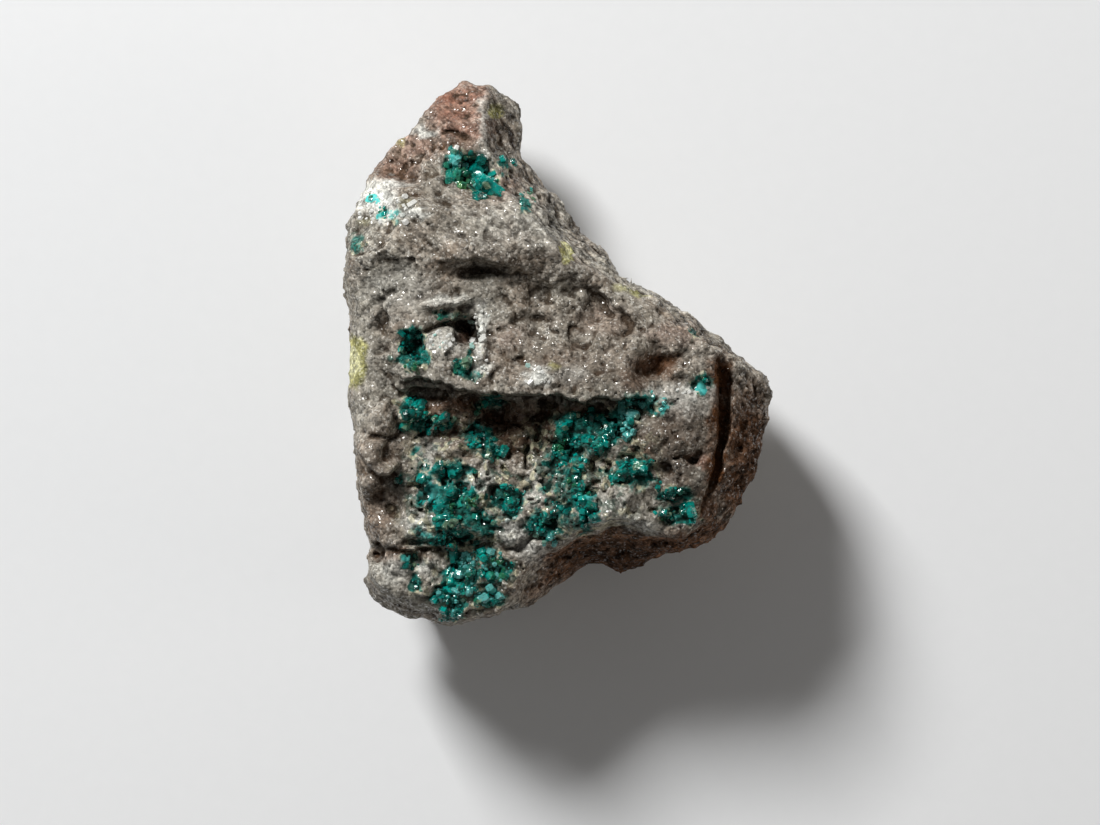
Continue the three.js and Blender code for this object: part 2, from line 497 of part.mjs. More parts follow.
const solids = new Map();
Object.entries(crusts).forEach(([name, crust], n) => {
  const plane = restingPlane(crust.shape);
  rock = rock.subtract(slab(grown(crust.shape, GAP), plane, -CRUST_DEPTH - GAP - (crust.sink ?? 0), 4));
  solids.set(name, crustOf(crust, 11 + n));
});
solids.set('host_rock', largestBody(rock));

const finishes = {
  host_rock: { color: 0x8d8278, roughness: 0.9, metalness: 0 },
  dioptase: { color: 0x0c7a6c, roughness: 0.2, metalness: 0 },
  druse: { color: 0xd9dad4, roughness: 0.4, metalness: 0 },
};

const specimen = new THREE.Group();
for (const [name, solid] of solids) {
  const kind = Object.keys(finishes).find((prefix) => name.startsWith(prefix));
  const mesh = new THREE.Mesh(geometryOf(solid), new THREE.MeshStandardMaterial(finishes[kind]));
  mesh.name = name;
  specimen.add(mesh);
}

// The origin goes to the middle of the bounding box, on the rest surface
const bounds = new THREE.Box3().setFromObject(specimen);
const middle = bounds.getCenter(new THREE.Vector3());
for (const mesh of specimen.children) mesh.position.set(-middle.x, -middle.y, -bounds.min.z);

export default specimen;
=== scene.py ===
# %% [markdown]
# # A dioptase specimen, crystals up
#
# The real object is one small piece of hard, sugary, grey-brown rock, broken on every side, with
# emerald green dioptase crystals crusted in the hollows of its front. This lesson dresses the plain
# faceted solids of that stone: the rock gets its fine relief, the crusts get their real crystals,
# and each finish gets its colours and gloss.

# %% Load the frame
import math
from types import SimpleNamespace

import bmesh
import bpy
import numpy as np
from mathutils import Matrix, Vector
from mathutils.bvhtree import BVHTree


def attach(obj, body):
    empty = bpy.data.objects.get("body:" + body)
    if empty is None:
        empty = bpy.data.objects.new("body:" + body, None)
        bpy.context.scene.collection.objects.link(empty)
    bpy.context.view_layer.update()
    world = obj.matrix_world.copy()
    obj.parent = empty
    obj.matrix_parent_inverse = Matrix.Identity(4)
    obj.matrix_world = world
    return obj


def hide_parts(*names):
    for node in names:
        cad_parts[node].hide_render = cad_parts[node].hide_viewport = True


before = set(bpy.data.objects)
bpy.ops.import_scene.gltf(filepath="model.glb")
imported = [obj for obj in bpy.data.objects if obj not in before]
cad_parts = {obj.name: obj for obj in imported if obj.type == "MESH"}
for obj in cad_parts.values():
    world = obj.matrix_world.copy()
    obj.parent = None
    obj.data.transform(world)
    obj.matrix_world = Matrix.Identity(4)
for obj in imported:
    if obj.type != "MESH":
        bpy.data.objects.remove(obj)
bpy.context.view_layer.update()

# %% [markdown]
# ## One set of shapes for both models
#
# A stone has no edges to measure, so its shape is kept as a *field*: a sum that is negative inside
# the stone and positive outside. The faceted solid was cut from this field with a coarse grid. Here
# the same forms are read with a grid about six times finer, so that the detailed stone lies in the
# same place as the plain one. Sculpting by hand could give such a stone too, but it couldn't be
# kept in step with the solid. Everything in this part is in millimetres, before the stone's middle
# is moved to the origin.

# %% Outline and rim
FRONT = 14.0  # height of the middle of the front
BULGE = 7.0  # height at which the stone is widest
MIDDLE = (0.0198, -0.0320)  # this point goes to the origin
UNDERCUT = 0.16  # how fast the sides draw in below the bulge
LEFT_EDGE = {"drop": 1.8, "reach": 0.7, "from": 6, "to": 13}  # the front rounds off at its left

outline = [  # the stone's outline where it is widest
    (-6.3, 18.1), (-4.7, 17.8), (-2.9, 16.8), (-2.4, 15.2), (-2.3, 14.0), (-1.5, 11.8), (-0.1, 9.7),
    (1.8, 7.7), (3.0, 6.5), (4.2, 4.8), (6.1, 4.3), (7.9, 3.1), (9.1, 2.1), (10.5, 1.1), (12.2, -0.1),
    (13.7, -1.5), (14.3, -2.5), (14.0, -4.2), (13.2, -7.1), (12.7, -8.8), (11.9, -10.7), (11.0, -11.8),
    (8.8, -13.1), (5.9, -14.3), (4.2, -14.5), (3.3, -14.1), (2.0, -14.0), (1.3, -14.5), (-0.7, -16.3),
    (-1.5, -17.2), (-4.3, -17.7), (-6.2, -18.1), (-8.7, -17.7), (-11.2, -17.1), (-12.3, -16.5),
    (-12.8, -15.2), (-12.5, -12.9), (-13.0, -11.3), (-13.5, -9.0), (-13.6, -6.0), (-13.9, -1.7),
    (-13.7, 2.4), (-14.3, 5.3), (-14.0, 8.0), (-12.9, 10.4), (-12.1, 12.3), (-10.6, 14.3),
    (-9.4, 14.7), (-8.9, 16.2), (-7.6, 17.2),
]

rim = [  # where the front breaks off to the sides
    (-6.1, 17.8), (-5.3, 17.9), (-4.7, 17.7), (-4.8, 16.2), (-4.9, 14.7), (-4.9, 13.7), (-4.5, 12.9),
    (-4.0, 11.9), (-3.9, 10.9), (-3.1, 10.2), (-2.4, 9.7), (-1.7, 9.1), (-0.7, 7.7), (0.3, 6.1),
    (1.9, 5.3), (3.4, 4.7), (4.6, 4.4), (6.5, 3.2), (8.1, 1.9), (9.5, 0.7), (10.7, -0.3), (12.0, -0.9),
    (12.9, -1.8), (13.3, -3.1), (12.8, -5.8), (12.3, -8.1), (11.5, -9.6), (10.5, -10.5), (9.6, -11.3),
    (8.6, -12.0), (7.5, -12.3), (6.3, -12.0), (5.2, -11.5), (3.6, -11.3), (1.7, -11.9), (0.0, -12.7),
    (-1.3, -13.3), (-2.1, -14.0), (-2.7, -15.1), (-3.1, -16.5), (-3.9, -17.3), (-5.9, -17.7),
    (-7.5, -17.3), (-8.7, -16.7), (-10.2, -16.3), (-11.6, -15.6), (-12.4, -14.6), (-12.6, -13.8),
    (-12.3, -12.8), (-12.5, -11.5), (-12.9, -9.8), (-13.3, -7.8), (-13.4, -5.8), (-13.7, -3.1),
    (-13.7, 0.2), (-13.9, 3.5), (-14.1, 5.5), (-13.8, 8.1), (-13.1, 10.0), (-12.2, 11.7),
    (-11.1, 13.3), (-10.3, 14.4), (-9.3, 15.1), (-8.5, 16.3), (-7.5, 17.3),
]
print("outline points:", len(outline), "rim points:", len(rim))

# %% Heights, swells and broken lips
spine = [  # height of the front along the stone's length
    (-18.4, 11.4), (-17.3, 12.2), (-15.5, 12.6), (-13.2, 12.8), (-11.0, FRONT - 0.4), (-8.0, FRONT),
    (-5.0, FRONT - 0.1), (-1.8, FRONT), (2.0, FRONT + 0.2), (5.0, FRONT + 0.6), (7.0, FRONT + 1.2),
    (9.0, FRONT + 0.5), (11.0, FRONT - 0.9), (13.4, 12.2), (15.2, 11.0), (17.0, 9.4), (18.4, 8.2),
]

swells = [  # middle, half sizes, turn in degrees, rise
    ((-5.4, 5.4), (1.5, 0.5), -4, -1.5),
    ((-1.5, 4.4), (2.2, 0.6), -12, -0.3),
    ((-2.9, -5.1), (3.7, 1.5), 0, -1.5),
    ((3.0, -5.2), (2.4, 1.6), 0, 0.8),
    ((1.2, 2.6), (4.6, 2.2), -20, -0.9),
    ((3.4, 4.6), (2.4, 1.3), -40, -0.7),
    ((6.5, -0.8), (1.4, 0.7), 20, -1.1),
    ((8.1, -1.3), (1.1, 0.5), -10, 0.8),
    ((-7.4, 0.4), (1.2, 1.1), 0, 0.8),
    ((-5.3, 11.9), (1.5, 1.1), -25, -1.9),
    ((-8.0, -5.6), (2.6, 1.6), 0, -0.8),
    ((7.4, -5.6), (2.6, 3.0), 0, 1.2),
    ((2.6, -9.8), (4.0, 1.8), 10, 0.6),
    ((-12.0, -5.2), (1.4, 2.2), 0, 0.9),
    ((-11.5, -10.2), (1.2, 1.9), 0, -1.1),
    ((13.0, -5.0), (1.8, 4.5), 0, -1.5),
]

lips = [  # path with the high side on its left, rise, reach
    ([(-11.2, -2.0), (-9.0, -1.7), (-7.2, -2.3), (-4.9, -2.7), (-1.5, -2.8), (1.8, -3.1),
      (3.9, -3.1), (5.5, -3.1), (6.8, -2.9)], 2.1, 3.8),
    ([(4.2, -2.6), (5.4, -1.4), (6.4, -0.6), (7.6, 0.1), (9.2, 0.4)], 0.2, 2.0),
    ([(-8.4, 6.0), (-6.4, 6.2), (-4.4, 5.9), (-2.6, 5.4)], 0.9, 1.6),
    ([(-1.9, -13.7), (0.1, -12.7), (1.7, -11.9), (3.5, -11.3), (5.2, -11.5), (6.3, -12.0), (8.1, -12.2)],
     0.9, 1.5),
    ([(-12.6, -12.7), (-9.3, -12.9), (-7.5, -12.8), (-5.6, -12.3), (-3.6, -12.0)], 0.9, 2.0),
    ([(-13.5, -5.8), (-12.7, -7.0), (-11.9, -8.2), (-11.1, -8.1), (-10.3, -7.3)], 1.5, 1.8),
]
print("swells and hollows:", len(swells), "lips:", len(lips))

# %% Fracture faces, deep hollows and the groove
chips = [  # fracture faces: middle, way it faces, half size
    ((-8.6, 15.2, 10.2), (-0.55, 0.4, 1), 4), ((-12.0, 10.0, 12.2), (-0.85, 0.6, 0.9), 4),
    ((11.9, -4.0, 12.6), (1, 0.1, 0.8), 5), ((10.6, -9.6, 12.8), (0.8, -0.55, 0.65), 4),
    ((6.0, 2.3, 14.0), (0.4, 0.62, 0.68), 3.5),
    ((0, 7.5, 0), (-0.1, 0.5, -1), 12), ((9.5, -4, 0), (1, -0.1, -0.75), 9),
    ((6, -12.5, 0), (0.5, -1, -0.9), 8), ((-7, -16, 0), (-0.2, -1, -0.6), 8),
    ((-11.8, -8, 0), (-1, -0.35, -0.35), 9), ((-12, 5, 0), (-1, 0.3, -0.6), 9),
    ((4, 2.8, 0), (0.75, 0.8, -0.7), 9), ((-9.5, 11, 1.0), (-0.8, 0.7, -0.9), 9),
    ((-13.2, 1.0, 4.0), (-1, -0.5, -0.25), 5), ((-3.0, -16.6, 4.5), (0.3, -1, -0.2), 4),
    ((1.0, 9.5, 6.0), (0.8, 0.9, -0.3), 5),
]

tubes = [  # hollows: path, height, radius across, radius up
    ([(-10.4, -2.6), (-8.6, -2.7), (-7.2, -3.0)], 14.0, 0.45, 0.9),
    ([(-6.4, -3.2), (-4.6, -3.6), (-2.6, -3.6)], 13.7, 0.75, 1.2),
    ([(-1.6, -3.3), (0.2, -3.5)], 14.0, 0.4, 0.9),
    ([(1.0, -3.8), (2.6, -3.9), (3.9, -4.2)], 13.9, 0.4, 0.8),
    ([(-4.9, -4.0), (-3.7, -4.8)], 13.2, 0.9, 1.5),
    ([(-7.0, 1.9), (-6.0, 1.8), (-5.3, 0.4)], 14.3, 0.7, 2.4),
    ([(-10.2, -0.3), (-9.2, 1.0)], 14.9, 0.8, 1.4),
    ([(-13.4, -13.3), (-11.2, -13.2)], 11.6, 0.6, 1.4),
]

groove = (  # path, half width, depth
    [(11.1, -0.6), (11.1, -2.6), (11.0, -5.2), (10.6, -7.0), (10.2, -8.8), (9.6, -10.6)], 0.55, 1.7)
print("fracture faces:", len(chips), "deep hollows:", len(tubes))

# %% [markdown]
# ## Finer marks
#
# Between the main forms the front carries cracks, small ribs and lumps that are too fine for the
# plain solid. They are listed the same way, so each can be moved by itself.

# %% Cracks and ribs of the front
cracks = [  # path, half width, depth; a negative depth is a rib
    ([(-12.9, -5.4), (-11.3, -5.6), (-9.9, -4.6)], 0.2, 0.5),
    ([(-4.3, -7.0), (-3.1, -8.2), (-1.8, -8.4)], 0.2, 0.4),
    ([(3.6, -5.6), (4.4, -7.2), (6.2, -8.0)], 0.2, 0.25),
    ([(7.4, -7.2), (8.3, -6.8), (9.3, -7.3)], 0.25, 0.4),
    ([(5.2, -3.2), (6.8, -3.6), (8.4, -3.0)], 0.2, 0.35),
    ([(-10.8, -12.9), (-9.6, -12.6), (-7.8, -12.7), (-6.4, -12.3), (-4.6, -12.0)], 0.3, 1.1),
    ([(-12.0, 6.9), (-9.8, 7.3), (-7.4, 6.9)], 0.4, 0.2),
    ([(-3.3, 2.1), (-1.6, 2.4), (0.4, 1.7)], 0.35, 0.5),
    ([(-8.8, 14.4), (-7.4, 14.6), (-5.6, 14.1)], 0.3, 0.7),
    ([(12.1, -2.6), (12.4, -5.2), (11.9, -7.8)], 0.3, 0.6),
    ([(3.5, 4.2), (5.2, 3.7), (6.6, 3.2)], 0.12, 0.5),
    ([(2.8, 4.4), (3.3, 3.7), (4.6, 2.7), (6.0, 1.7), (7.1, 0.5)], 0.3, -0.5),
    ([(1.6, 4.9), (2.2, 3.9), (3.4, 2.8), (4.9, 1.7)], 0.3, 0.35),
    ([(-9.3, 3.0), (-7.2, 3.4), (-5.0, 3.8)], 0.3, -0.7),
    ([(-8.9, 1.3), (-7.9, 1.9), (-6.9, 2.0)], 0.18, 0.9),
    ([(-5.3, 2.2), (-4.9, 0.6), (-5.2, -1.0)], 0.3, -0.5),
    ([(-10.9, -4.4), (-9.4, -3.8)], 0.5, -0.6),
    ([(-7.6, 13.3), (-7.4, 12.2), (-7.3, 10.9)], 0.3, 0.7),
    ([(-4.85, 17.2), (-4.95, 15.4), (-5.0, 13.8)], 0.14, -0.25),
]

lumps = [  # middle, radius, rise: knobs of rock seen one by one
    ((7.0, -3.6), 0.9, 0.25), ((8.6, -4.2), 0.9, 0.25), ((9.4, -2.4), 0.7, 0.3),
    ((6.4, -5.6), 1.0, 0.3), ((8.6, -6.0), 0.9, 0.2), ((5.8, -7.0), 0.8, 0.25), ((8.9, -8.6), 0.8, 0.4),
    ((7.4, -8.9), 0.7, 0.4), ((4.6, -9.6), 0.8, 0.4), ((3.2, -10.6), 0.8, 0.3),
    ((12.9, -2.2), 0.8, 0.5), ((12.0, -4.4), 0.7, 0.5), ((12.9, -5.9), 0.9, 0.4),
    ((11.9, -7.6), 0.7, 0.5), ((11.5, -9.6), 0.7, 0.4), ((-11.9, -4.2), 1.2, 0.5),
    ((-12.6, -8.8), 0.9, 0.5), ((-11.9, -11.2), 1.0, 0.5), ((-10.7, -13.9), 1.0, 0.4),
    ((-9.0, -15.4), 0.9, 0.4), ((-8.7, 9.3), 1.1, 0.5), ((-12.6, 8.6), 0.9, 0.4),
    ((-2.4, -5.3), 1.2, 0.9), ((-0.4, -5.0), 1.0, 0.8), ((-6.6, -6.1), 0.8, 0.7),
    ((-3.4, -12.2), 0.9, 0.4), ((-6.1, 1.2), 0.8, -1.7), ((5.4, 0.9), 0.9, 0.4),
    ((3.2, 1.0), 0.8, 0.35), ((-0.9, -1.7), 0.9, 0.35), ((1.6, -1.9), 0.9, 0.3),
    ((-1.1, 3.7), 1.3, -0.6), ((-1.5, 1.7), 0.9, -0.5), ((1.6, 0.1), 1.1, -0.45),
    ((0.8, 4.3), 1.0, -0.4), ((5.1, 1.9), 1.2, -0.5), ((-3.7, 3.4), 0.9, -0.4), ((2.9, 3.0), 1.2, -0.4),
    ((-2.9, -0.4), 0.9, -0.3), ((-11.6, 1.8), 0.9, -0.4), ((-11.2, 5.6), 1.1, -0.4),
    ((9.0, -6.9), 0.6, -0.5), ((7.2, -7.6), 0.6, -0.4), ((-6.4, -8.8), 0.7, -0.5),
    ((-3.2, -7.4), 0.9, -0.5), ((0.2, -7.4), 0.8, -0.4), ((-1.8, -9.2), 0.6, -0.5),
]
print("marks:", len(cracks) + len(lumps))

# %% [markdown]
# ## The sums behind the field
#
# Distances to paths and to the outline only depend on where a point lies in plan, so they are
# worked out once on a flat grid and shared by all heights. `numpy` does each sum for the whole grid
# at a time, where a loop over the points in Python would take minutes.

# %% Distances in plan
def nearest_on_path(path, x, y):
    """Distance to a path, the share of the way along it, and +1 on its left or -1 on its right."""
    nearest = np.full(x.shape, np.inf)
    along = np.zeros(x.shape)
    side = np.ones(x.shape)
    for step, ((ax, ay), (bx, by)) in enumerate(zip(path, path[1:])):
        ux, uy = bx - ax, by - ay
        t = np.clip(((x - ax) * ux + (y - ay) * uy) / (ux * ux + uy * uy), 0, 1)
        distance = np.hypot(x - ax - t * ux, y - ay - t * uy)
        closer = distance < nearest
        nearest = np.where(closer, distance, nearest)
        along = np.where(closer, (step + t) / (len(path) - 1), along)
        side = np.where(closer, np.where(ux * (y - ay) - uy * (x - ax) < 0, -1.0, 1.0), side)
    return nearest, along, side


def ring_distance(places, x, y):
    """Distance to a closed line, negative inside it."""
    ring = places + places[:1]
    inside = np.zeros(x.shape, bool)
    for (ax, ay), (bx, by) in zip(ring, ring[1:]):
        crosses = (ay > y) != (by > y)
        if by != ay:
            inside ^= crosses & (x < (bx - ax) * (y - ay) / (by - ay) + ax)
    nearest, _, _ = nearest_on_path(ring, x, y)
    return np.where(inside, -nearest, nearest)


def end_fade(along):
    """0 at both ends of a path, 1 between its first and last fifth."""
    return np.minimum(1, np.minimum(5 * along, 5 * (1 - along)))


def smooth_step(value, low, high):
    """0 up to low, 1 from high on, smooth in between."""
    t = np.clip((value - low) / (high - low), 0, 1)
    return t * t * (3 - 2 * t)


print("from the origin to the outline:", ring_distance(outline, np.zeros(1), np.zeros(1)).round(2), "mm")

# %% [markdown]
# ## Noise
#
# Broken rock is uneven at every size. A noise texture only changes a material, and this unevenness
# belongs to the shape, so a small noise is built here: a repeatable number for each point of a
# lattice, with a smooth blend in between. Cells round scattered centres give what has flat sides or
# separate bodies, such as fracture faces and clumps of crystals.


# %% Noise that both models share
def lattice_value(i, j, k):
    """A repeatable number from -1 to 1 for each point of a whole-number lattice."""
    def whole(v):
        return (v.astype(np.int64) & 0xFFFFFFFF).astype(np.uint32)

    h = whole(i) * np.uint32(374761393) + whole(j) * np.uint32(668265263)
    h = h + whole(k) * np.uint32(1274126177)
    h = (h ^ (h >> np.uint32(13))) * np.uint32(1103515245)
    return (h ^ (h >> np.uint32(16))) / 2147483648.0 - 1


def noise(x, y, z):
    """Smooth noise from -1 to 1, with one lump about every unit."""
    x, y, z = np.broadcast_arrays(x, y, z)
    i, j, k = np.floor(x), np.floor(y), np.floor(z)
    u, v, w = (t * t * (3 - 2 * t) for t in (x - i, y - j, z - k))

    def row(dj, dk):
        a, b = lattice_value(i, j + dj, k + dk), lattice_value(i + 1, j + dj, k + dk)
        return a + u * (b - a)

    low = row(0, 0) + v * (row(1, 0) - row(0, 0))
    high = row(0, 1) + v * (row(1, 1) - row(0, 1))
    return low + w * (high - low)


def noise_at(points, size):
    """Noise at rows of points, with one lump about every size millimetres."""
    return noise(*(points.T / size))


def cells(points, size):
    """For each point, the distance to the nearest of a scatter of centres, that centre's offset,
    and a number from 0 to 1 that belongs to it. Distances are in units of size."""
    at = points / size
    home = np.floor(at)
    nearest = np.full(len(at), np.inf)
    offset = np.zeros(at.shape)
    tag = np.zeros(len(at))
    for shift in np.ndindex(3, 3, 3):
        cell = home + np.array(shift) - 1
        i, j, k = cell.T
        jitter = np.stack([lattice_value(i + 17 * n, j - 31 * n, k + 57 * n) for n in (1, 2, 3)], 1)
        away = at - (cell + 0.5 + 0.45 * jitter)
        distance = np.sqrt((away ** 2).sum(1))
        closer = distance < nearest
        nearest = np.where(closer, distance, nearest)
        offset[closer] = away[closer]
        tag = np.where(closer, lattice_value(i - 5, j + 11, k + 3) * 0.5 + 0.5, tag)
    return nearest, offset, tag


def shifted(x, y, reach, size, layers):
    """Places moved a little by noise, so that what is looked up there gets wavy edges."""
    return tuple(v + reach * noise(x / size, y / size, layer) for v, layer in zip((x, y), layers))


def ragged(x, y, size, wide, fine, shift=0.0):
    """Places moved by broad and fine noise, which gives straight lines a broken edge. The shift
    picks other layers of the noise, so that two edges don't waver together."""
    return tuple(
        v + wide * noise(x / size, y / size, 5.5 + n + shift)
        + fine * noise(x / 0.4, y / 0.4, 2.5 + n + shift)
        for n, v in ((0, x), (4, y)))


print("noise at three points:", noise(np.array([0.3, 4.2, -2.6]), 0.7, 1.1).round(3))

# %% [markdown]
# ## Height of the front
#
# The front is read as one height for each place in plan. The main forms are added up as smooth
# swells and one-sided lips, where the rock broke off along a line, and the groove is cut last.


# %% Height of the front
def front_height(x, y):
    """The main forms of the front, as in the plain solid."""
    z = np.interp(y, *zip(*spine))
    for (cx, cy), (half_x, half_y), turn, rise in swells:
        c, s = math.cos(math.radians(-turn)), math.sin(math.radians(-turn))
        dx, dy = (x - cx) * c - (y - cy) * s, (x - cx) * s + (y - cy) * c
        z = z + rise * np.exp(-((dx / half_x) ** 2) - (dy / half_y) ** 2)
    for path, rise, reach in lips:
        distance, along, side = nearest_on_path(path, x, y)
        z = z + np.where(side > 0, rise * end_fade(along) * np.exp(-((distance / reach) ** 1.5)), 0)
    left = LEFT_EDGE["drop"] * smooth_step(-x, LEFT_EDGE["from"], LEFT_EDGE["to"])
    z = z - left * np.exp(ring_distance(outline, x, y) / LEFT_EDGE["reach"])
    path, half_width, depth = groove
    distance, along, _ = nearest_on_path(path, x, y)
    cut = smooth_step(half_width * (1.1 - 0.6 * along) - distance, -0.05, 0.12)
    z = z - depth * cut * (1 - 0.75 * along)
    return z + 0.22 * noise(x / 2.1, y / 2.1, 7.5)


def marks_height(x, y):
    """The finer marks, added to the front of the detailed stone."""
    x, y = shifted(x, y, 0.25, 0.9, (3.2, 8.4))
    z = np.zeros(x.shape)
    for path, half_width, depth in cracks:
        distance, along, _ = nearest_on_path(path, x, y)
        z -= depth * end_fade(along) * np.exp(-((distance / half_width) ** 2))
    for (cx, cy), radius, rise in lumps:
        away = np.hypot(x - cx, y - cy) / radius
        z += rise * np.clip(1 - away ** 2, 0, 1)
    return z


print("height at the origin:", front_height(np.zeros(1), np.zeros(1)).round(2), "mm")

# %% [markdown]
# ## Places of colour
#
# Where the rock is stained, bleached or bare is a fact about this stone; other places are painted
# darker, browner or paler as shade or highlight. Each place is listed: its middle, its half sizes and
# its strength. A little noise moves the points before they are looked up, which gives the patches
# ragged edges, as real stains have. The result is kept on the mesh's points later, where a material
# can read it.

# %% Stains and patches
green_stain = [  # in all these lists: middle, half sizes, strength
    (-6.3, 12.2, 1.1, 1.0, 1), (-4.9, 11.3, 0.9, 0.7, 1), (-9.6, 0.9, 0.7, 0.8, 0.9),
    (-9.7, -0.2, 1.0, 0.8, 1), (-7.1, 2.4, 1.0, 0.3, 0.9), (-5.6, -0.2, 0.4, 0.5, 0.6),
    (-6.2, -0.9, 0.7, 0.5, 0.9), (-5.6, -1.4, 0.6, 0.5, 0.9), (-9.7, -3.7, 0.8, 0.9, 0.8),
    (-8.9, -4.7, 1.0, 0.6, 0.8), (-7.4, -4.6, 0.8, 0.4, 0.6), (-5.2, -5.6, 0.9, 1.0, 0.9),
    (-4.4, -6.5, 0.9, 0.6, 0.8), (-9.3, -7.1, 0.7, 0.8, 0.6), (-7.0, -7.8, 1.4, 0.6, 1),
    (-9.4, -8.4, 1.0, 0.4, 0.9), (-7.4, -9.6, 1.8, 0.95, 1), (-7.5, -11.3, 0.6, 0.5, 0.8),
    (-6.5, -10.9, 1.4, 0.6, 0.9), (-4.9, -11.2, 1.2, 0.75, 1), (-7.1, -12.3, 1.3, 0.5, 1),
    (-8.9, -12.1, 1.0, 0.6, 0.43), (-3.5, -10.0, 1.1, 1.0, 1), (-0.4, -6.9, 0.7, 0.8, 0.8),
    (0.8, -8.9, 1.6, 1.3, 1), (1.3, -6.2, 1.5, 1.1, 1), (-4.5, -3.4, 0.9, 0.5, 0.8),
    (6.6, -3.4, 0.8, 0.7, 0.8), (1.8, -4.6, 2.0, 0.6, 0.9), (3.2, -5.2, 1.0, 1.0, 0.9),
    (4.2, -4.6, 0.8, 1.1, 1), (2.9, -8.2, 1.6, 0.6, 0.7), (5.0, -7.7, 1.1, 0.7, 0.9),
    (5.6, -8.6, 0.9, 0.6, 1), (-0.9, -11.4, 1.0, 0.9, 1), (0.5, -11.2, 1.5, 0.8, 1),
    (2.0, -10.8, 0.8, 0.4, 0.9), (5.5, -3.3, 1.1, 0.6, 0.7), (7.7, -9.4, 1.3, 0.5, 0.7),
    (8.0, -10.7, 1.2, 0.6, 0.9), (9.5, -2.0, 0.6, 0.6, 0.8), (-6.3, -13.7, 0.9, 0.6, 1),
    (-5.0, -13.3, 1.0, 0.6, 1), (-6.5, -15.0, 1.0, 1.0, 1), (-4.3, -14.3, 1.1, 0.8, 1),
    (-7.7, -16.1, 0.5, 0.6, 0.9), (-6.8, -16.6, 0.6, 0.8, 1), (-7.2, -17.6, 0.7, 0.4, 0.9),
    (-4.5, -16.2, 1.0, 0.5, 0.9), (-9.5, -15.3, 0.4, 0.4, 0.8), (-9.8, -13.8, 0.6, 0.5, 0.6),
    (-3.5, 12.5, 0.4, 0.5, 0.7), (-2.1, 10.2, 0.4, 0.9, 0.7), (-13.4, 7.2, 0.5, 0.7, 0.42),
    (-12.4, 10.2, 0.42, 0.3, 1), (-11.6, 9.2, 0.4, 0.28, 1), (-10.8, 9.0, 0.5, 0.5, 0.4),
    (9.0, 1.6, 0.3, 0.7, 0.6), (-6.5, -9.0, 4.2, 4.6, 0.2), (1.5, -7.6, 5.0, 4.2, 0.2),
    (-6.0, -15.2, 3.6, 2.2, 0.2),
]

pink_stain = [
    (-7.0, 16.4, 1.9, 1.7, 1), (-5.6, 17.2, 1.0, 0.8, 0.9), (-6.4, 14.8, 1.8, 0.9, 0.8),
    (-9.6, 13.8, 1.9, 1.0, 0.6), (-10.8, 12.4, 1.6, 1.2, 0.55), (-3.6, 11.2, 0.9, 1.2, 0.35),
    (5.4, -6.9, 0.8, 0.5, 0.5), (9.4, -7.2, 0.8, 0.4, 0.7), (7.6, 1.2, 1.8, 0.8, 0.35),
    (3.2, 2.2, 1.6, 1.2, 0.2), (-3.0, 1.0, 1.2, 0.8, 0.25), (-3.4, -9.0, 1.0, 0.5, 0.3),
]

# mostly bleached rock; the thin patches along the lower lip and along the rib above the small hollow are
# painted highlight
pale_patch_and_highlight = [
    (-9.2, -11.4, 0.9, 0.7, 0.7), (-5.5, -8.8, 1.0, 0.6, 0.6), (-2.9, -12.1, 0.9, 0.7, 0.7),
    (-9.4, -14.3, 1.5, 0.6, 0.6), (-1.6, -9.3, 0.7, 1.2, 0.45), (-8.4, -6.3, 0.9, 0.5, 0.45),
    (8.0, -3.2, 2.0, 1.0, 0.4), (9.2, -2.6, 1.1, 0.5, 0.8), (-12.1, 10.3, 1.3, 0.9, 1.2),
    (-11.4, 9.2, 0.9, 0.5, 0.9), (-11.3, 11.2, 1.3, 0.4, 0.9), (-9.4, 9.2, 0.9, 0.25, 0.8),
    (-7.2, 3.4, 2.0, 0.3, 0.5), (-4.9, 15.4, 0.25, 1.9, 0.45), (-8.7, 14.7, 0.9, 0.25, 0.9),
    (-5.2, 12.9, 0.6, 0.4, 0.9), (-6.8, 13.1, 0.4, 0.4, 0.9), (-7.5, 0.7, 1.1, 0.9, 0.36),
    (-5.1, 1.3, 0.35, 1.9, 0.8), (-5.0, -1.0, 0.5, 0.5, 0.7), (-1.2, -1.6, 0.9, 0.5, 1.1),
    (0.9, -1.4, 1.2, 0.5, 0.3), (8.0, -2.8, 1.0, 0.5, 0.55), (-8.4, -9.0, 0.5, 1.0, 0.5),
    (-5.1, -8.2, 1.0, 0.7, 0.45), (-3.0, -11.8, 0.9, 0.7, 0.6), (-2.0, -13.0, 0.9, 0.9, 0.6),
    (3.2, -9.9, 1.6, 0.8, 0.3), (2.6, -11.1, 0.8, 0.2, 0.5), (4.4, -10.9, 1.0, 0.2, 0.5),
    (6.0, -11.4, 0.7, 0.2, 0.5), (-11.0, -14.4, 1.0, 0.9, 0.4), (-8.9, -14.2, 0.7, 0.5, 0.5),
    (-10.4, 4.0, 2.2, 1.6, 0.2), (-3.0, 8.4, 3.0, 1.8, 0.12), (-8.6, -7.2, 0.4, 0.6, 0.6),
    (1.6, -9.6, 0.5, 0.4, 0.7), (6.4, -2.6, 0.8, 0.3, 0.7),
]

yellow_stain = [
    (-10.1, 9.9, 0.9, 0.5, 0.35), (-12.9, 8.7, 0.6, 0.5, 0.35), (-13.5, -0.6, 0.8, 1.5, 1.2),
    (0.6, 6.8, 0.35, 0.8, 1.5), (5.4, 4.1, 1.0, 0.4, 0.6), (-3.9, 16.1, 0.7, 0.5, 0.9),
    (-3.3, 14.4, 0.5, 1.0, 0.35), (-10.6, 14.2, 0.5, 0.5, 0.5), (-5.6, 11.0, 0.6, 0.4, 0.6),
    (-5.2, -9.6, 0.8, 0.3, 0.5), (-2.4, 14.0, 0.3, 0.8, 0.5), (4.6, 4.3, 1.2, 0.4, 0.5),
    (-0.3, -0.9, 0.5, 0.3, 0.5), (-8.0, -11.6, 0.5, 0.3, 0.5),
]
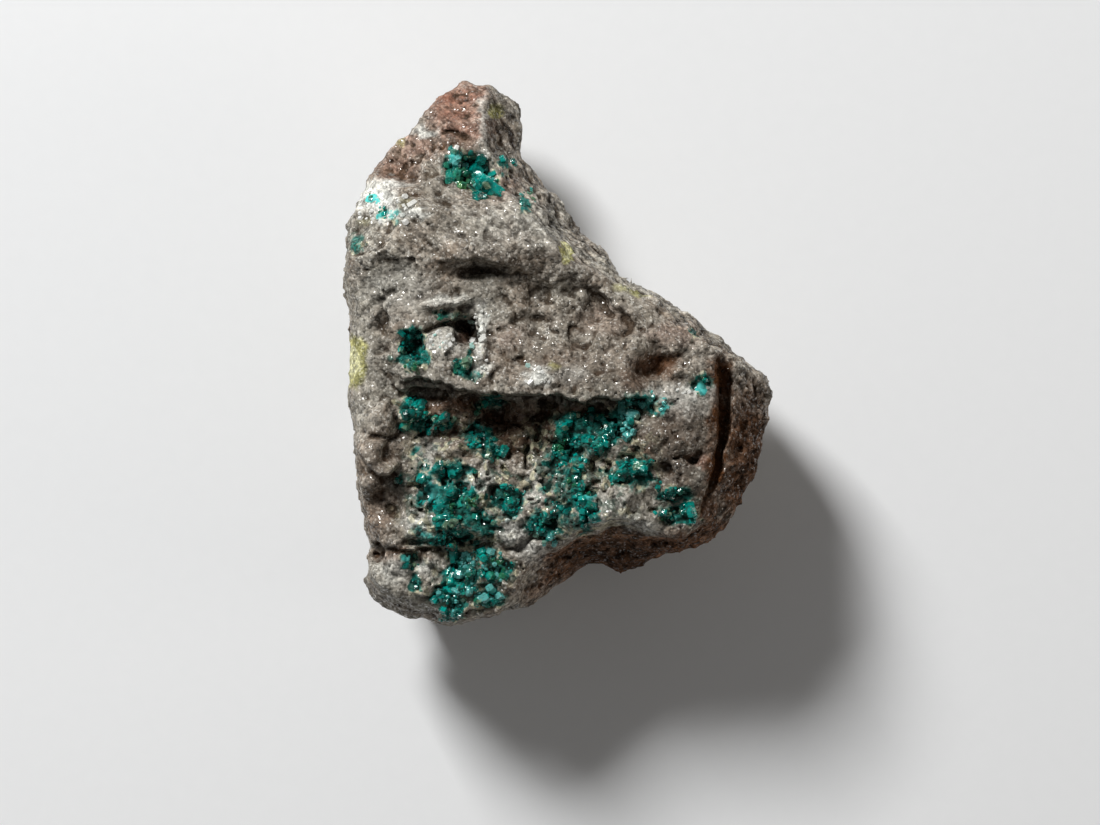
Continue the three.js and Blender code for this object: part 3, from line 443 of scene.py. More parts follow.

# partly a real stain, partly painted shade: under the ledge, in the small hollow and on the lower front
# walls the rock is painted browner and darker
brown_stain_and_shade = [
    (-6.6, 13.7, 1.5, 0.5, 0.5), (1.0, -0.8, 4.6, 1.5, 0.3), (7.4, -5.6, 2.6, 2.6, 0.35),
    (4.9, -1.8, 1.2, 0.7, 0.6), (10.8, -1.8, 0.8, 1.6, 1.1), (10.8, -4.4, 0.8, 2.2, 1.1),
    (10.5, -7.6, 0.8, 2.0, 1.1), (10.1, -10.6, 0.8, 1.6, 0.9), (12.6, -6.4, 1.8, 3.6, 0.95),
    (12.0, -9.0, 1.4, 2.2, 0.95), (-6.2, 1.15, 0.5, 0.6, 1.1), (6.5, -0.8, 1.5, 0.8, 0.9),
    (4.0, -14.0, 3.4, 1.2, 1), (0.6, -14.2, 1.4, 0.9, 0.9), (8.4, -12.8, 2.2, 0.9, 1),
    (-2.0, -6.0, 1.8, 1.0, 0.55), (-11.8, -8.6, 1.4, 3.0, 0.35), (-10.6, -13.4, 1.8, 0.5, 0.7),
    (-7.2, -5.8, 1.4, 0.7, 0.5), (5.6, -6.4, 1.4, 1.6, 0.45), (6.6, -4.0, 1.6, 0.9, 0.35),
    (-10.6, 11.2, 1.6, 1.6, 0.35), (3.6, 1.8, 3.4, 0.8, 0.2), (-3.6, 15.0, 0.9, 1.8, 0.25),
    (-4.3, 14.8, 0.4, 1.4, 0.4), (-2.8, -5.0, 3.9, 1.5, 0.85), (-6.0, -3.6, 4.0, 0.6, 0.8),
    (1.0, -3.9, 4.0, 0.5, 0.8), (-12.0, -10.0, 1.0, 2.4, 0.5), (12.4, -5.0, 1.4, 2.4, 0.7),
    (5.2, -1.2, 1.4, 0.8, 0.5),
]

painted_shade_patch = [  # painted shade: darker without being browner, under the ledge, in the small hollow and on faces turned from the light
    (7.6, -6.0, 2.8, 3.2, 0.8), (12.8, -7.2, 1.9, 3.8, 0.9), (-2.4, -6.2, 3.2, 1.0, 0.9),
    (-3.7, 15.4, 1.0, 2.4, 0.9), (4.0, -13.8, 4.0, 1.3, 1), (9.8, -11.4, 2.2, 1.2, 0.4),
    (3.0, -1.6, 4.6, 1.0, 0.4), (11.1, -5.6, 0.6, 4.4, 0.7), (-10.1, 9.9, 0.9, 0.5, 0.5),
    (-12.9, 8.7, 0.6, 0.5, 0.5), (-2.4, -5.4, 4.2, 1.2, 0.9), (-6.2, 1.15, 0.6, 0.7, 1.3),
    (-7.6, -5.8, 2.2, 1.1, 0.5),
]
all_places = (green_stain, pink_stain, pale_patch_and_highlight, yellow_stain, brown_stain_and_shade, painted_shade_patch)
print("places of colour:", sum(map(len, all_places)))


# %% Strength of a patch
WAVE = 0.45  # size of the waves in a patch's edge
FRAY = 0.17  # size of the finest ones


def patch_strength(patches, points, waver=0.35, fade=(7.5, 10)):
    """The strongest of the patches at each point, with ragged edges, and none below the front."""
    x, y, z = points.T
    x = x + waver * noise_at(points, WAVE) + 0.15 * noise_at(points, FRAY)
    y = y + waver * noise(x / WAVE, y / WAVE, z / WAVE + 40)
    strength = np.zeros(len(x))
    for cx, cy, half_x, half_y, most in patches:
        away = np.sqrt(((x - cx) / half_x) ** 2 + ((y - cy) / half_y) ** 2)
        strength = np.maximum(strength, most * np.clip(1.6 - 1.1 * away, 0, 1))
    return strength * smooth_step(z, *fade)


print("yellow at the left edge:", patch_strength(yellow_stain, np.array([[-13.4, -0.6, 12.0]])).round(2))

# %% [markdown]
# ## Masses under the crystals
#
# The crystals haven't grown on flat rock. They have grown together into rounded clumps about a
# millimetre wide, with bare cracks between them. These masses are raised on the rock itself, so
# that the single crystals, which are set on it later, follow them. A few clumps stay bare, picked by
# the number that belongs to each.

# %% Masses under the crystals
CLUMP = 1.2  # millimetres from one clump to the next
BARE = 0.16  # share of the clumps without crystals
BARE_GREEN = 0.4  # how green those may be


def clumps(x, y):
    """Each place's distance to the middle of its clump, and how green that clump may be."""
    x, y = shifted(x, y, 0.3, 0.6, (4.5, 9.5))
    nearest, _, tag = cells(np.stack([x, y, np.zeros(len(x))], 1), CLUMP)
    return nearest, np.where(tag < BARE, BARE_GREEN, 1.0)


def green_strength(points):
    """How green the rock is: some clumps inside the patches stay bare."""
    _, share = clumps(*points.T[:2])
    return share * patch_strength(green_stain, points, fade=(8.5, 10.5))


def crusted_share(x, y, left, right):
    """1 on the large field of crystals below the ledge, fading out over these spans of x and -x."""
    return smooth_step(-y, 3.2, 4.4) * smooth_step(x, *left) * smooth_step(-x, *right)


def masses(x, y):
    """The height of the rounded clumps, and of the cracks between them."""
    points = np.stack([x.ravel(), y.ravel(), np.full(x.size, FRONT)], 1)
    nearest, _ = clumps(*points.T[:2])
    dome = np.clip(1 - (nearest / 0.6) ** 2, 0, 1).reshape(x.shape)
    green = green_strength(points).reshape(x.shape)
    u, v = 0.8 * x + 0.6 * y, 0.8 * y - 0.6 * x
    lines = 1 - smooth_step(np.abs(noise(u / 1.1, v / 0.8, 3.3)), 0.0, 0.14)
    lines = lines * smooth_step(noise(x / 1.6, y / 1.6, 8.8), -0.2, 0.3)
    depth = 0.1 + 0.45 * crusted_share(x, y, (-10.5, -9.5), (-7.5, -5.5))
    return (0.7 * dome - 0.2) * smooth_step(green, 0.25, 0.6) - depth * lines


print("masses at two places:", masses(np.array([-7.4, 3.0]), np.array([-9.6, 3.0])).round(2), "mm")

# %% [markdown]
# ## A fine grid
#
# The front is what one looks at, so its grid is the finest. Below the shoulder, where only the
# broken sides are, the grid's levels are further apart, which keeps the piece under 200,000
# triangles.

# %% The grid and what depends on the plan alone
FINE = 0.171  # step of the front's grid
LEVEL = 0.55  # step between the levels below the shoulder
SHOULDER = 9.0
CEILING = 15.6  # knobs of the front level off above this

grid_x = np.arange(-16.0, 16.0, FINE)
grid_y = np.arange(-20.0, 20.0, FINE)
grid_z = np.concatenate([np.arange(-1.0, SHOULDER, LEVEL), np.arange(SHOULDER, 18.0, FINE)])
plan_x, plan_y = np.meshgrid(grid_x, grid_y, indexing="ij")
torn = ragged(plan_x, plan_y, 0.9, 0.16, 0.06)
broken = ragged(plan_x, plan_y, 1.3, 0.3, 0.12, 20.0)
edge_plan = ring_distance(outline, *torn)
rim_plan = ring_distance(rim, *torn)
spine_plan = np.interp(plan_y, *zip(*spine))
front_plan = front_height(*broken)
marks_plan = marks_height(plan_x, plan_y) + masses(plan_x, plan_y)
print("grid:", len(grid_x), "x", len(grid_y), "x", len(grid_z))


# %% The field on the grid
def stone_field():
    """The main forms, the front's marks and the hollows on the whole grid."""
    z = grid_z[None, None, :]
    up = np.clip((z - BULGE) / (spine_plan[:, :, None] - BULGE), 0, 1.2)
    field = edge_plan[:, :, None] * (1 - up) + rim_plan[:, :, None] * up
    field = field + UNDERCUT * np.maximum(0, BULGE - z)
    top = front_plan + marks_plan
    excess = np.maximum(0, top - CEILING)
    top = top - excess + 0.5 * np.tanh(2 * excess)
    field = np.maximum(field, (z - top[:, :, None]) * 0.9)
    for at, facing, size in chips:
        dx, dy, dz = plan_x[:, :, None] - at[0], plan_y[:, :, None] - at[1], z - at[2]
        beyond = np.maximum(0, np.sqrt(dx ** 2 + dy ** 2 + dz ** 2) - size)
        nx, ny, nz = Vector(facing).normalized()
        field = np.maximum(field, nx * dx + ny * dy + nz * dz - 1.3 * beyond)
    uneven = 0.25 * noise(plan_x / 0.7, plan_y / 0.7, 1.5)
    for path, height, across, half_height in tubes:
        distance, along, _ = nearest_on_path(path, *broken)
        fade = 0.45 + 0.55 * end_fade(along)
        flat = ((distance + uneven) / (across * fade))[:, :, None]
        reach = np.sqrt(flat ** 2 + ((z - height) / (half_height * fade[:, :, None])) ** 2)
        field = np.maximum(field, (1 - reach) * min(across, half_height))
    return field


field = stone_field()
print("filled share of the grid:", round(float((field < 0).mean()), 3))

# %% [markdown]
# ## Broken faces and sugary grain
#
# Hard rock breaks in small flat faces that lean this way and that, and this one is grainy on top of
# them. Both are added to the field near the surface, so they are real relief with real shadows. The
# relief is coarser on the side walls and at the outer right, and liveliest between the crystals.

# %% Roughness near the surface
SIDE_LUMPS = ((0.3, 3.3), (0.16, 1.5))  # height and size, as in the plain solid


def facets(points, size):
    """Flat fracture faces: each cell leans its own way, so neighbours meet in a small step."""
    _, offset, tag = cells(points, size)
    facing = np.stack([np.cos(tag * 40), np.sin(tag * 40), np.cos(tag * 90)], 1)
    return (offset * facing).sum(1)


def add_roughness(field):
    """Broad roughness on the sides, then fracture faces, striae and sugary grain near the surface."""
    i, j, k = np.nonzero(np.abs(field) < 1.0)
    points = np.stack([grid_x[i], grid_y[j], grid_z[k]], 1)
    rough = sum(height * noise_at(points, size) for height, size in SIDE_LUMPS)
    value = field[i, j, k] + rough * smooth_step(front_plan[i, j] - points[:, 2], 0.5, 3)
    near = np.abs(value) < 0.75
    i, j, k, points, value = i[near], j[near], k[near], points[near], value[near]
    x, y, z = points.T
    warp = 0.22 * np.stack([noise(x / 0.8 + 9 * n, y / 0.8, z / 0.8) for n in (1, 2, 3)], 1)
    above = z - front_plan[i, j]
    front = smooth_step(np.abs(rim_plan[i, j]), 0.1, 0.8) * smooth_step(above, -1.6, -0.8)
    crusted = crusted_share(x, y, (-10.5, -9.0), (-7.0, -4.0))
    wall = smooth_step(-above, 0.8, 2.0) * smooth_step(z, 5.5, 7.5)
    outer = smooth_step(x, 11.2, 11.8) * smooth_step(z, 7, 9)
    striated = smooth_step(y, 5.8, 7.2) * smooth_step(-y, -12.5, -11.0)
    carried = 0.3 + 0.7 * smooth_step(z, SHOULDER - 1.0, SHOULDER + 0.3)
    # Each line adds one kind of relief: its height, then the size of its faces or lumps.
    value += (0.12 + 0.08 * front) * facets(points + 2 * warp, 2.3)
    value += 0.1 * noise_at(points, 1.4)
    value += wall * (0.22 * facets(points + warp + 7, 1.1) + 0.1 * noise_at(points, 0.5))
    value += outer * (0.24 * facets(points + warp - 7, 0.8) + 0.1 * noise_at(points, 0.4))
    value += (0.07 + 0.03 * front + 0.2 * crusted * front) * facets(points + warp, 0.9)
    value += 0.12 * crusted * front * noise_at(points, 0.6)
    along, across = (x * 0.8 - y * 0.6) / 2.4, (x * 0.6 + y * 0.8) / 0.33
    value += 0.14 * striated * noise(along, across, z / 0.5)
    value += 0.07 * carried * facets(points + 0.3 * warp, 0.38)  # the sugary grain
    field[i, j, k] = value
    return field


field = np.maximum(add_roughness(field), -grid_z[None, None, :])
print("filled share with roughness and flat base:", round(float((field < 0).mean()), 3))

# %% [markdown]
# ## From field to mesh
#
# *Surface nets* puts one point in each grid cell that the surface crosses, at the mean of its
# crossings, and one four-sided face round each grid edge that crosses. It keeps a stone's worn
# edges, where marching cubes would leave slivers.

# %% Pinched places
JUST_INSIDE = -0.01  # what a filled grid point is set to


def fill_diagonals(field):
    """Fills grid points that touch only across a diagonal, where the surface would be pinched."""
    for _ in range(6):
        filled = field < 0
        changed = 0
        for axis in range(3):
            u, v = [n for n in range(3) if n != axis]
            here = [slice(None)] * 3

            def part(du, dv):
                index = list(here)
                index[u] = slice(du, field.shape[u] - 1 + du)
                index[v] = slice(dv, field.shape[v] - 1 + dv)
                return tuple(index)

            a, b, c, d = (filled[part(*p)] for p in ((0, 0), (1, 0), (0, 1), (1, 1)))
            pinched = (a == d) & (b == c) & (a != b)
            changed += int(pinched.sum())
            for corner in ((0, 0), (1, 0)):
                block = field[part(*corner)]
                block[pinched & (block >= 0)] = JUST_INSIDE
        if not changed:
            break
    return field


filled_before = int((field < 0).sum())
field = fill_diagonals(field)
print("grid points filled:", int((field < 0).sum()) - filled_before)


# %% Surface nets
def surface_net(field, planes):
    """Points and four-sided faces of the surface where the field is zero."""
    shape = tuple(n - 1 for n in field.shape)
    total = np.zeros(shape + (3,), np.float32)
    count = np.zeros(shape, np.uint8)
    inside = field < 0
    crossing = []
    for axis in range(3):
        low = tuple(slice(0, -1) if n == axis else slice(None) for n in range(3))
        high = tuple(slice(1, None) if n == axis else slice(None) for n in range(3))
        cross = inside[low] != inside[high]
        crossing.append(cross)
        share = np.where(cross, field[low] / np.where(cross, field[low] - field[high], 1), 0)
        u, v = [n for n in range(3) if n != axis]
        for du, dv in np.ndindex(2, 2):
            index = [slice(None)] * 3
            index[u] = slice(du, shape[u] + du)
            index[v] = slice(dv, shape[v] + dv)
            hit = cross[tuple(index)]
            total[..., axis] += share[tuple(index)]
            total[..., u] += hit * du
            total[..., v] += hit * dv
            count += hit
    used = count > 0
    number = np.full(shape, -1, np.int64)
    number[used] = np.arange(int(used.sum()))
    where = np.argwhere(used)
    mean = total[used] / count[used][:, None]
    points = np.stack([
        planes[n][where[:, n]] + mean[:, n] * (planes[n][where[:, n] + 1] - planes[n][where[:, n]])
        for n in range(3)], 1)
    faces = []
    for axis in range(3):
        u, v = (axis + 1) % 3, (axis + 2) % 3
        at = np.argwhere(crossing[axis])
        at = at[(at[:, u] > 0) & (at[:, v] > 0) & (at[:, u] < shape[u]) & (at[:, v] < shape[v])]
        corners = []
        for du, dv in ((1, 1), (0, 1), (0, 0), (1, 0)):
            cell = at.copy()
            cell[:, u] -= du
            cell[:, v] -= dv
            corners.append(number[tuple(cell.T)])
        quad = np.stack(corners, 1)
        outwards = inside[tuple(at.T)]
        faces.append(np.where(outwards[:, None], quad, quad[:, ::-1]))
    return points, np.concatenate(faces)


rock_points, rock_faces = surface_net(field, (grid_x, grid_y, grid_z))
print("surface:", len(rock_points), "points")


# %% The largest part
def largest_part(points, faces):
    """Keeps the biggest connected part, and drops the crumbs that noise leaves in the air."""
    label = np.arange(len(points))
    while True:
        low = label[faces].min(1)
        new = label.copy()
        for column in range(4):
            np.minimum.at(new, faces[:, column], low)
        new = new[new]
        if (new == label).all():
            break
        label = new
    names, sizes = np.unique(label, return_counts=True)
    keep = label == names[sizes.argmax()]
    number = np.cumsum(keep) - 1
    return points[keep], number[faces[keep[faces].all(1)]]


rock_points, rock_faces = largest_part(rock_points, rock_faces)
print("rock:", len(rock_points), "points,", 2 * len(rock_faces), "triangles")

# %% [markdown]
# ## Marks on the rock
#
# A material can't read the lists of places, so what they say is worked out for each point of the
# rock and kept there under a name. Two more marks come from the shape itself: how far a point lies
# below the front, which tells the side walls, and how much stone is round it, which tells the
# crevices, where shade is painted on. Blender could find crevices by ambient occlusion too, but a
# kept value is the same from every side and costs nothing in the render.


# %% Read the grid at points
def solid_share(field, radius):
    """How much of a box round each grid point is stone: over a half in a hollow, under it on an edge."""
    share = (field < 0).astype(np.float32)
    for axis in range(3):
        share = np.moveaxis(share, axis, 0)
        total = np.cumsum(np.concatenate([np.zeros_like(share[:1]), share]), 0)
        n = len(share)
        low = np.clip(np.arange(n) - radius, 0, n)
        high = np.clip(np.arange(n) + radius + 1, 0, n)
        share = (total[high] - total[low]) / (high - low)[:, None, None]
        share = np.moveaxis(share, 0, axis)
    return share


def read_grid(values, points):
    """The value at each point, mixed from the grid points round it. A plan's values have no height."""
    low, part = [], []
    for n, plane in enumerate((grid_x, grid_y, grid_z)[:values.ndim]):
        index = np.clip(np.searchsorted(plane, points[:, n]) - 1, 0, len(plane) - 2)
        low.append(index)
        part.append(np.clip((points[:, n] - plane[index]) / (plane[index + 1] - plane[index]), 0, 1))
    total = np.zeros(len(points))
    for corner in np.ndindex((2,) * values.ndim):
        weight = np.prod([p if c else 1 - p for c, p in zip(corner, part)], 0)
        total += weight * values[tuple(i + c for i, c in zip(low, corner))]
    return total


below_front = read_grid(front_plan + marks_plan, rock_points) - rock_points[:, 2]
crowding = read_grid(solid_share(field, 2), rock_points)
print("share of stone round the points:", round(float(crowding.mean()), 2), "on average")

# %% Marks at the rock's points
wander = 1.6 * noise_at(rock_points, 1.8)
east, north, height = rock_points.T
wall_share = smooth_step(below_front, 0.4, 1.1) * smooth_step(height + wander, 1.0, 7.0)
wall_share = wall_share * smooth_step(east + wander, -7.0, -3.5)
# the lower front walls, which are painted browner as shade
shaded_south = smooth_step(-north, 10.5, 11.5) * smooth_step(east + wander, -3.6, 0.6)
on_front = 1 - smooth_step(below_front + 0.3 * noise_at(rock_points, 0.7), 1.5, 3.0)
stained = np.maximum(on_front, smooth_step(-east, 11.5, 12.5))  # stains don't run down the walls
brown = patch_strength(brown_stain_and_shade, rock_points, 0.35, (3, 6.5))
rock_marks = {
    "green": green_strength(rock_points) * stained,
    "pink": patch_strength(pink_stain, rock_points, 0.35, (5, 7.5)),
    "pale": patch_strength(pale_patch_and_highlight, rock_points),
    "yellow": patch_strength(yellow_stain, rock_points, 0.2, (7, 9.5)) * stained,
    "brown": np.maximum(brown, 0.95 * wall_share * shaded_south),
    "wall": wall_share,
    # painted shade at the listed places
    "dull": patch_strength(painted_shade_patch, rock_points, 0.35, (3, 6.5)),
    # painted shade: the more stone round a point, the darker it is painted
    "crevice": np.clip(4 * (crowding - 0.5) + 0.5, 0, 1),
    "fibres": 0.35 + 0.65 * smooth_step(north, 4.5, 7.0),  # streaks, strongest on the horn
}
print({name: round(float(values.mean()), 3) for name, values in rock_marks.items()})

# %% [markdown]
# ## The rock as an object
#
# Here the points go over into metres. The flat base comes out of the grid as thousands of small
# faces in one plane, which say nothing, so they are joined into one.

# %% Make the rock
MM = 0.001  # a millimetre in metres


def placed(points):
    """Millimetres of the layout as metres of the frame."""
    return (np.asarray(points) - (*MIDDLE, 0)) * MM


def linked(name, data):
    """A new object in the scene."""
    thing = bpy.data.objects.new(name, data)
    bpy.context.scene.collection.objects.link(thing)
    return thing


def new_piece(name, points, faces, marks, smooth=True):
    """A mesh object from points in millimetres, with named values on its points."""
    mesh = bpy.data.meshes.new(name)
    mesh.from_pydata(placed(points).tolist(), [], [tuple(face) for face in faces])
    for mark, values in marks.items():
        layer = mesh.attributes.new(mark, "FLOAT", "POINT")
        layer.data.foreach_set("value", np.asarray(values, np.float32))
    mesh.polygons.foreach_set("use_smooth", [smooth] * len(mesh.polygons))
    mesh.update()
    return linked(name, mesh)


def join_base(piece):
    """Joins the many small faces of the flat base into one."""
    shape = bmesh.new()
    shape.from_mesh(piece.data)
    base = [face for face in shape.faces if all(corner.co.z < 1e-7 for corner in face.verts)]
    bmesh.ops.dissolve_faces(shape, faces=base, use_verts=True)
    shape.to_mesh(piece.data)
    shape.free()


rock = new_piece("rock", rock_points, rock_faces.tolist(), rock_marks)
join_base(rock)
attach(rock, "root")
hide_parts("host_rock")
print("rock spans", [round(v / MM, 1) for v in rock.dimensions], "mm,",
      sum(len(face.vertices) - 2 for face in rock.data.polygons), "triangles")

# %% [markdown]
# ## Shader sums in plain Python
#
# A rock's colour is a long sum of small influences. Drawn as nodes it is a maze, so a small class
# stands for a node's output and turns `1 - mask` or `mask * 0.3` into Math nodes.


# %% A value that can be summed
class Value:
    """One output of a node. With the usual operators, it adds Math nodes."""

    def __init__(self, finish, socket):
        self.finish, self.socket = finish, socket

    def _math(self, operation, first, second):
        return self.finish.node("ShaderNodeMath", {"operation": operation}, {0: first, 1: second})

    def __add__(self, other):
        return self._math("ADD", self, other)

    def __radd__(self, other):
        return self._math("ADD", other, self)

    def __sub__(self, other):
        return self._math("SUBTRACT", self, other)

    def __rsub__(self, other):
        return self._math("SUBTRACT", other, self)

    def __mul__(self, other):
        return self._math("MULTIPLY", self, other)

    def __rmul__(self, other):
        return self._math("MULTIPLY", other, self)

    def clamped(self):
        return self.finish.node("ShaderNodeClamp", {}, {"Value": self})

    def between(self, low, high):
        """0 at low, 1 at high, smooth in between."""
        return self.finish.node("ShaderNodeMapRange", {"interpolation_type": "SMOOTHSTEP"},
                                {"Value": self, "From Min": low, "From Max": high})


print("a value can be used with:", [name for name in vars(Value) if name[2:-2] in ("add", "sub", "mul")])


# %% A finish, node by node
class Finish:
    """A material, built node by node."""

    def __init__(self, name):
        self.material = bpy.data.materials.new(name)
        self.material.use_nodes = True
        self.nodes = self.material.node_tree.nodes
        self.nodes.clear()

    def node(self, kind, settings=None, sockets=None, output=0):
        """Adds a node: its settings first, then its sockets, by name or number. Gives one output."""
        node = self.nodes.new(kind)
        for name, value in (settings or {}).items():
            setattr(node, name, value)
        for name, value in (sockets or {}).items():
            found = node.inputs[name]
            if isinstance(value, Value):
                self.material.node_tree.links.new(value.socket, found)
            elif hasattr(found.default_value, "__len__") and len(value) < len(found.default_value):
                found.default_value = (*value, 1)
            else:
                found.default_value = value
        return Value(self, node.outputs[output]) if output is not None else node

    def place(self):
        return self.node("ShaderNodeTexCoord", output="Object")

    def mark(self, name):
        """A value kept on the mesh's points."""
        return self.node("ShaderNodeAttribute", {"attribute_name": name}, output="Fac")

    def noise(self, per_mm, detail=2.0, roughness=0.5, place=None):
        """Smooth noise with so many lumps to the millimetre."""
        return self.node("ShaderNodeTexNoise", {}, {
            "Vector": place or self.place(), "Scale": per_mm / MM, "Detail": detail,
            "Roughness": roughness})

    def grains(self, per_mm, output):
        """Cells, so many to the millimetre: output is Distance, or Color, which is random."""
        return self.node("ShaderNodeTexVoronoi", {}, {
            "Vector": self.place(), "Scale": per_mm / MM}, output=output)

    def fibres(self, turn, lengthwise, crosswise):
        """The object's coordinates, drawn out along a direction in plan."""
        return self.node("ShaderNodeMapping", {"vector_type": "TEXTURE"}, {
            "Vector": self.place(), "Rotation": (0, 0, math.radians(turn)),
            "Scale": (lengthwise, crosswise, 1)})

    def mix(self, share, first, second, blend="MIX"):
        """Mixes two colours."""
        return self.node("ShaderNodeMix", {"data_type": "RGBA", "blend_type": blend},
                         {0: share, 6: first, 7: second}, output=2)

    def red_of(self, colour):
        """One number from a random colour."""
        return self.node("ShaderNodeSeparateColor", {}, {"Color": colour})

    def vector(self, operation, sockets):
        return self.node("ShaderNodeVectorMath", {"operation": operation}, sockets)

    def tilted(self, normal, colour, amount):
        """A normal that leans its own way in each cell of a random colour."""
        lean = self.vector("SUBTRACT", {0: colour, 1: (0.5, 0.5, 0.5)})
        lean = self.vector("SCALE", {0: lean, "Scale": amount})
        return self.vector("NORMALIZE", {0: self.vector("ADD", {0: normal, 1: lean})})

    def principled(self, sockets):
        return self.node("ShaderNodeBsdfPrincipled", {}, sockets)

    def surface(self, shader, volume=None):
        """Ends the material in a shader, and gives the material."""
        ends = {"Surface": shader}
        if volume:
            ends["Volume"] = volume
        self.node("ShaderNodeOutputMaterial", {}, ends, output=None)
        return self.material


print("a finish can add:", [name for name in vars(Finish) if not name.startswith("_")])

# %% [markdown]
# ## The rock's finish
#
# Seen close, the rock is made of glassy grains a third of a millimetre wide, each a little lighter
# or darker than the next and each tilted its own way, which is why it glitters like sugar. Voronoi
# cells give such grains: a random colour for each, read once for its tone and once for its tilt.
# The stains come from the values on the mesh. Shade is painted on too: crevices and shaded places
# are painted darker and browner. A few grains are glassy and the rest are matt, so two shaders are
# mixed: one shader with a mean gloss would put a grey haze over the dark hollows.

# %% Colours of the rock
COOL_GREY = (0.205, 0.19, 0.16)
WARM_GREY = (0.19, 0.153, 0.12)
LIGHT_GREY = (0.34, 0.325, 0.29)
DUSTY_PINK = (0.215, 0.104, 0.071)
CREVICE_SHADE = (0.05, 0.033, 0.019)
IRON_BROWN_AND_SHADE = (0.1, 0.042, 0.017)
MUSTARD = (0.34, 0.33, 0.12)
LEMON = (0.55, 0.54, 0.32)
BLEACHED_AND_HIGHLIGHT = (0.68, 0.69, 0.65)
BUFF_CRUMB = (0.56, 0.53, 0.36)
DARK_CRUMB = (0.03, 0.075, 0.055)
PALE_FLECK_AND_SPARKLE = (0.68, 0.68, 0.64)
GREEN_HALO = (0.16, 0.32, 0.27)
DEEP_MOSS, LIGHT_MOSS = (0.002, 0.06, 0.048), (0.02, 0.3, 0.26)
TURQUOISE = (0.08, 0.62, 0.6)
MOSS_SHADOW = (0.002, 0.018, 0.014)


def rock_patterns(finish):
    """The marks on the mesh, and patterns from broad to fine, by name."""
    patterns = SimpleNamespace(**{name: finish.mark(name) for name in rock_marks})
    patterns.broad = finish.noise(0.28, 3).between(0.35, 0.68)
    patterns.middling = finish.noise(1.1, 4, 0.6).between(0.3, 0.7)
    patterns.streak = finish.noise(1.0, 3, 0.65, finish.fibres(-40, 2.2, 0.3)) - 0.5
    patterns.speck = finish.noise(3.2, 3, 0.7)
    patterns.tilt = finish.grains(4.2, "Color")
    patterns.grain = finish.red_of(patterns.tilt)
    patterns.fine = finish.red_of(finish.grains(8.0, "Color"))
    return patterns


print("from the darkest of the greys and browns", CREVICE_SHADE, "to the palest", BLEACHED_AND_HIGHLIGHT)


# %% Colour of the bare rock
def bare_colour(finish, at):
    """Grey rock, pinker, browner, yellower or paler by place, with painted shade in the crevices, and
    speckled near the crystals.
    """
    colour = finish.mix(at.broad, COOL_GREY, WARM_GREY)
    colour = finish.mix(at.middling * 0.6, colour, LIGHT_GREY)
    colour = finish.mix(at.pink * (0.65 + 0.4 * at.middling), colour, DUSTY_PINK)
    # painted shade: crevices turn dark and brownish
    colour = finish.mix((at.crevice.between(0.5, 1.0) * 0.8).clamped(), colour, CREVICE_SHADE)
    # a real stain, and painted shade under the ledge, in the small hollow and on the lower walls
    colour = finish.mix((at.brown * 0.92).clamped(), colour, IRON_BROWN_AND_SHADE)
    colour = finish.mix(at.yellow.between(0.15, 0.75) * 0.8, colour, MUSTARD)
    colour = finish.mix(at.yellow.between(0.95, 1.2) * 0.8, colour, LEMON)
    # bleached rock, and painted highlight on a lit lip and rib
    colour = finish.mix((at.pale * 0.8).clamped(), colour, BLEACHED_AND_HIGHLIGHT)
    wash = at.green.between(0.04, 0.18)
    crumb = finish.red_of(finish.grains(2.3, "Color"))
    colour = finish.mix(wash * crumb.between(0.7, 0.8) * 0.6, colour, BUFF_CRUMB)
    return finish.mix(wash * crumb.between(0.32, 0.22) * 0.6, colour, DARK_CRUMB)


def with_tone(finish, at, colour):
    """Makes each grain lighter or darker than the next, adds streaks, paints shade into crevices and shaded
    places, and adds pale flecks that are partly painted sparkle.
    """
    clump = finish.red_of(finish.grains(1.5, "Color"))
    blotch = finish.noise(1.3, 3, 0.7).between(0.3, 0.7)
    tone = 0.25 + 0.7 * at.grain + 0.75 * at.fine + 0.3 * clump
    # painted shade: crevices darker still
    tone = tone * (1 - 0.3 * at.crevice.between(0.5, 1.0))
    tone = tone * (0.45 + 1.05 * at.speck) * (1 + 2.4 * at.fibres * at.streak)
    # painted shade at the listed places; on the walls the tone only gets blotchier
    tone = tone * (1 - 0.42 * at.dull) * (1 + at.wall * (1.5 * blotch - 0.72))
    grey = finish.node("ShaderNodeCombineColor", {}, {"Red": tone, "Green": tone, "Blue": tone})
    colour = finish.mix(1.0, colour, grey, "MULTIPLY")
    # pale grains, partly painted sparkle: fewer in crevices, on stains and on the pink
    fleck_and_sparkle = at.fine.between(0.86, 0.92) * (1 - 0.8 * at.crevice)
    fleck_and_sparkle = fleck_and_sparkle * (1 - 0.8 * at.brown - 0.7 * at.pink).clamped()
    return finish.mix(fleck_and_sparkle * 0.45, colour, PALE_FLECK_AND_SPARKLE)


def with_green(finish, at, colour):
    """Adds the green stain: a faint halo, and films between the crystals."""
    halo = at.green.between(0.05, 0.5) * at.grain.between(0.3, 0.8)
    colour = finish.mix(halo * 0.6, colour, GREEN_HALO)
    moss = (at.green + 0.5 * (at.speck - 0.5)).between(0.22, 0.5)
    stain = finish.mix(at.grain * at.fine, DEEP_MOSS, LIGHT_MOSS)
    stain = finish.mix((at.pale * 0.8).clamped(), stain, TURQUOISE)
    # painted shade: the green film turns near black in the crevices
    stain = finish.mix(at.crevice.between(0.48, 0.95), stain, MOSS_SHADOW)
    return finish.mix(moss * 0.94, colour, stain)


print("steps of the colour:", [step.__name__ for step in (bare_colour, with_tone, with_green)])


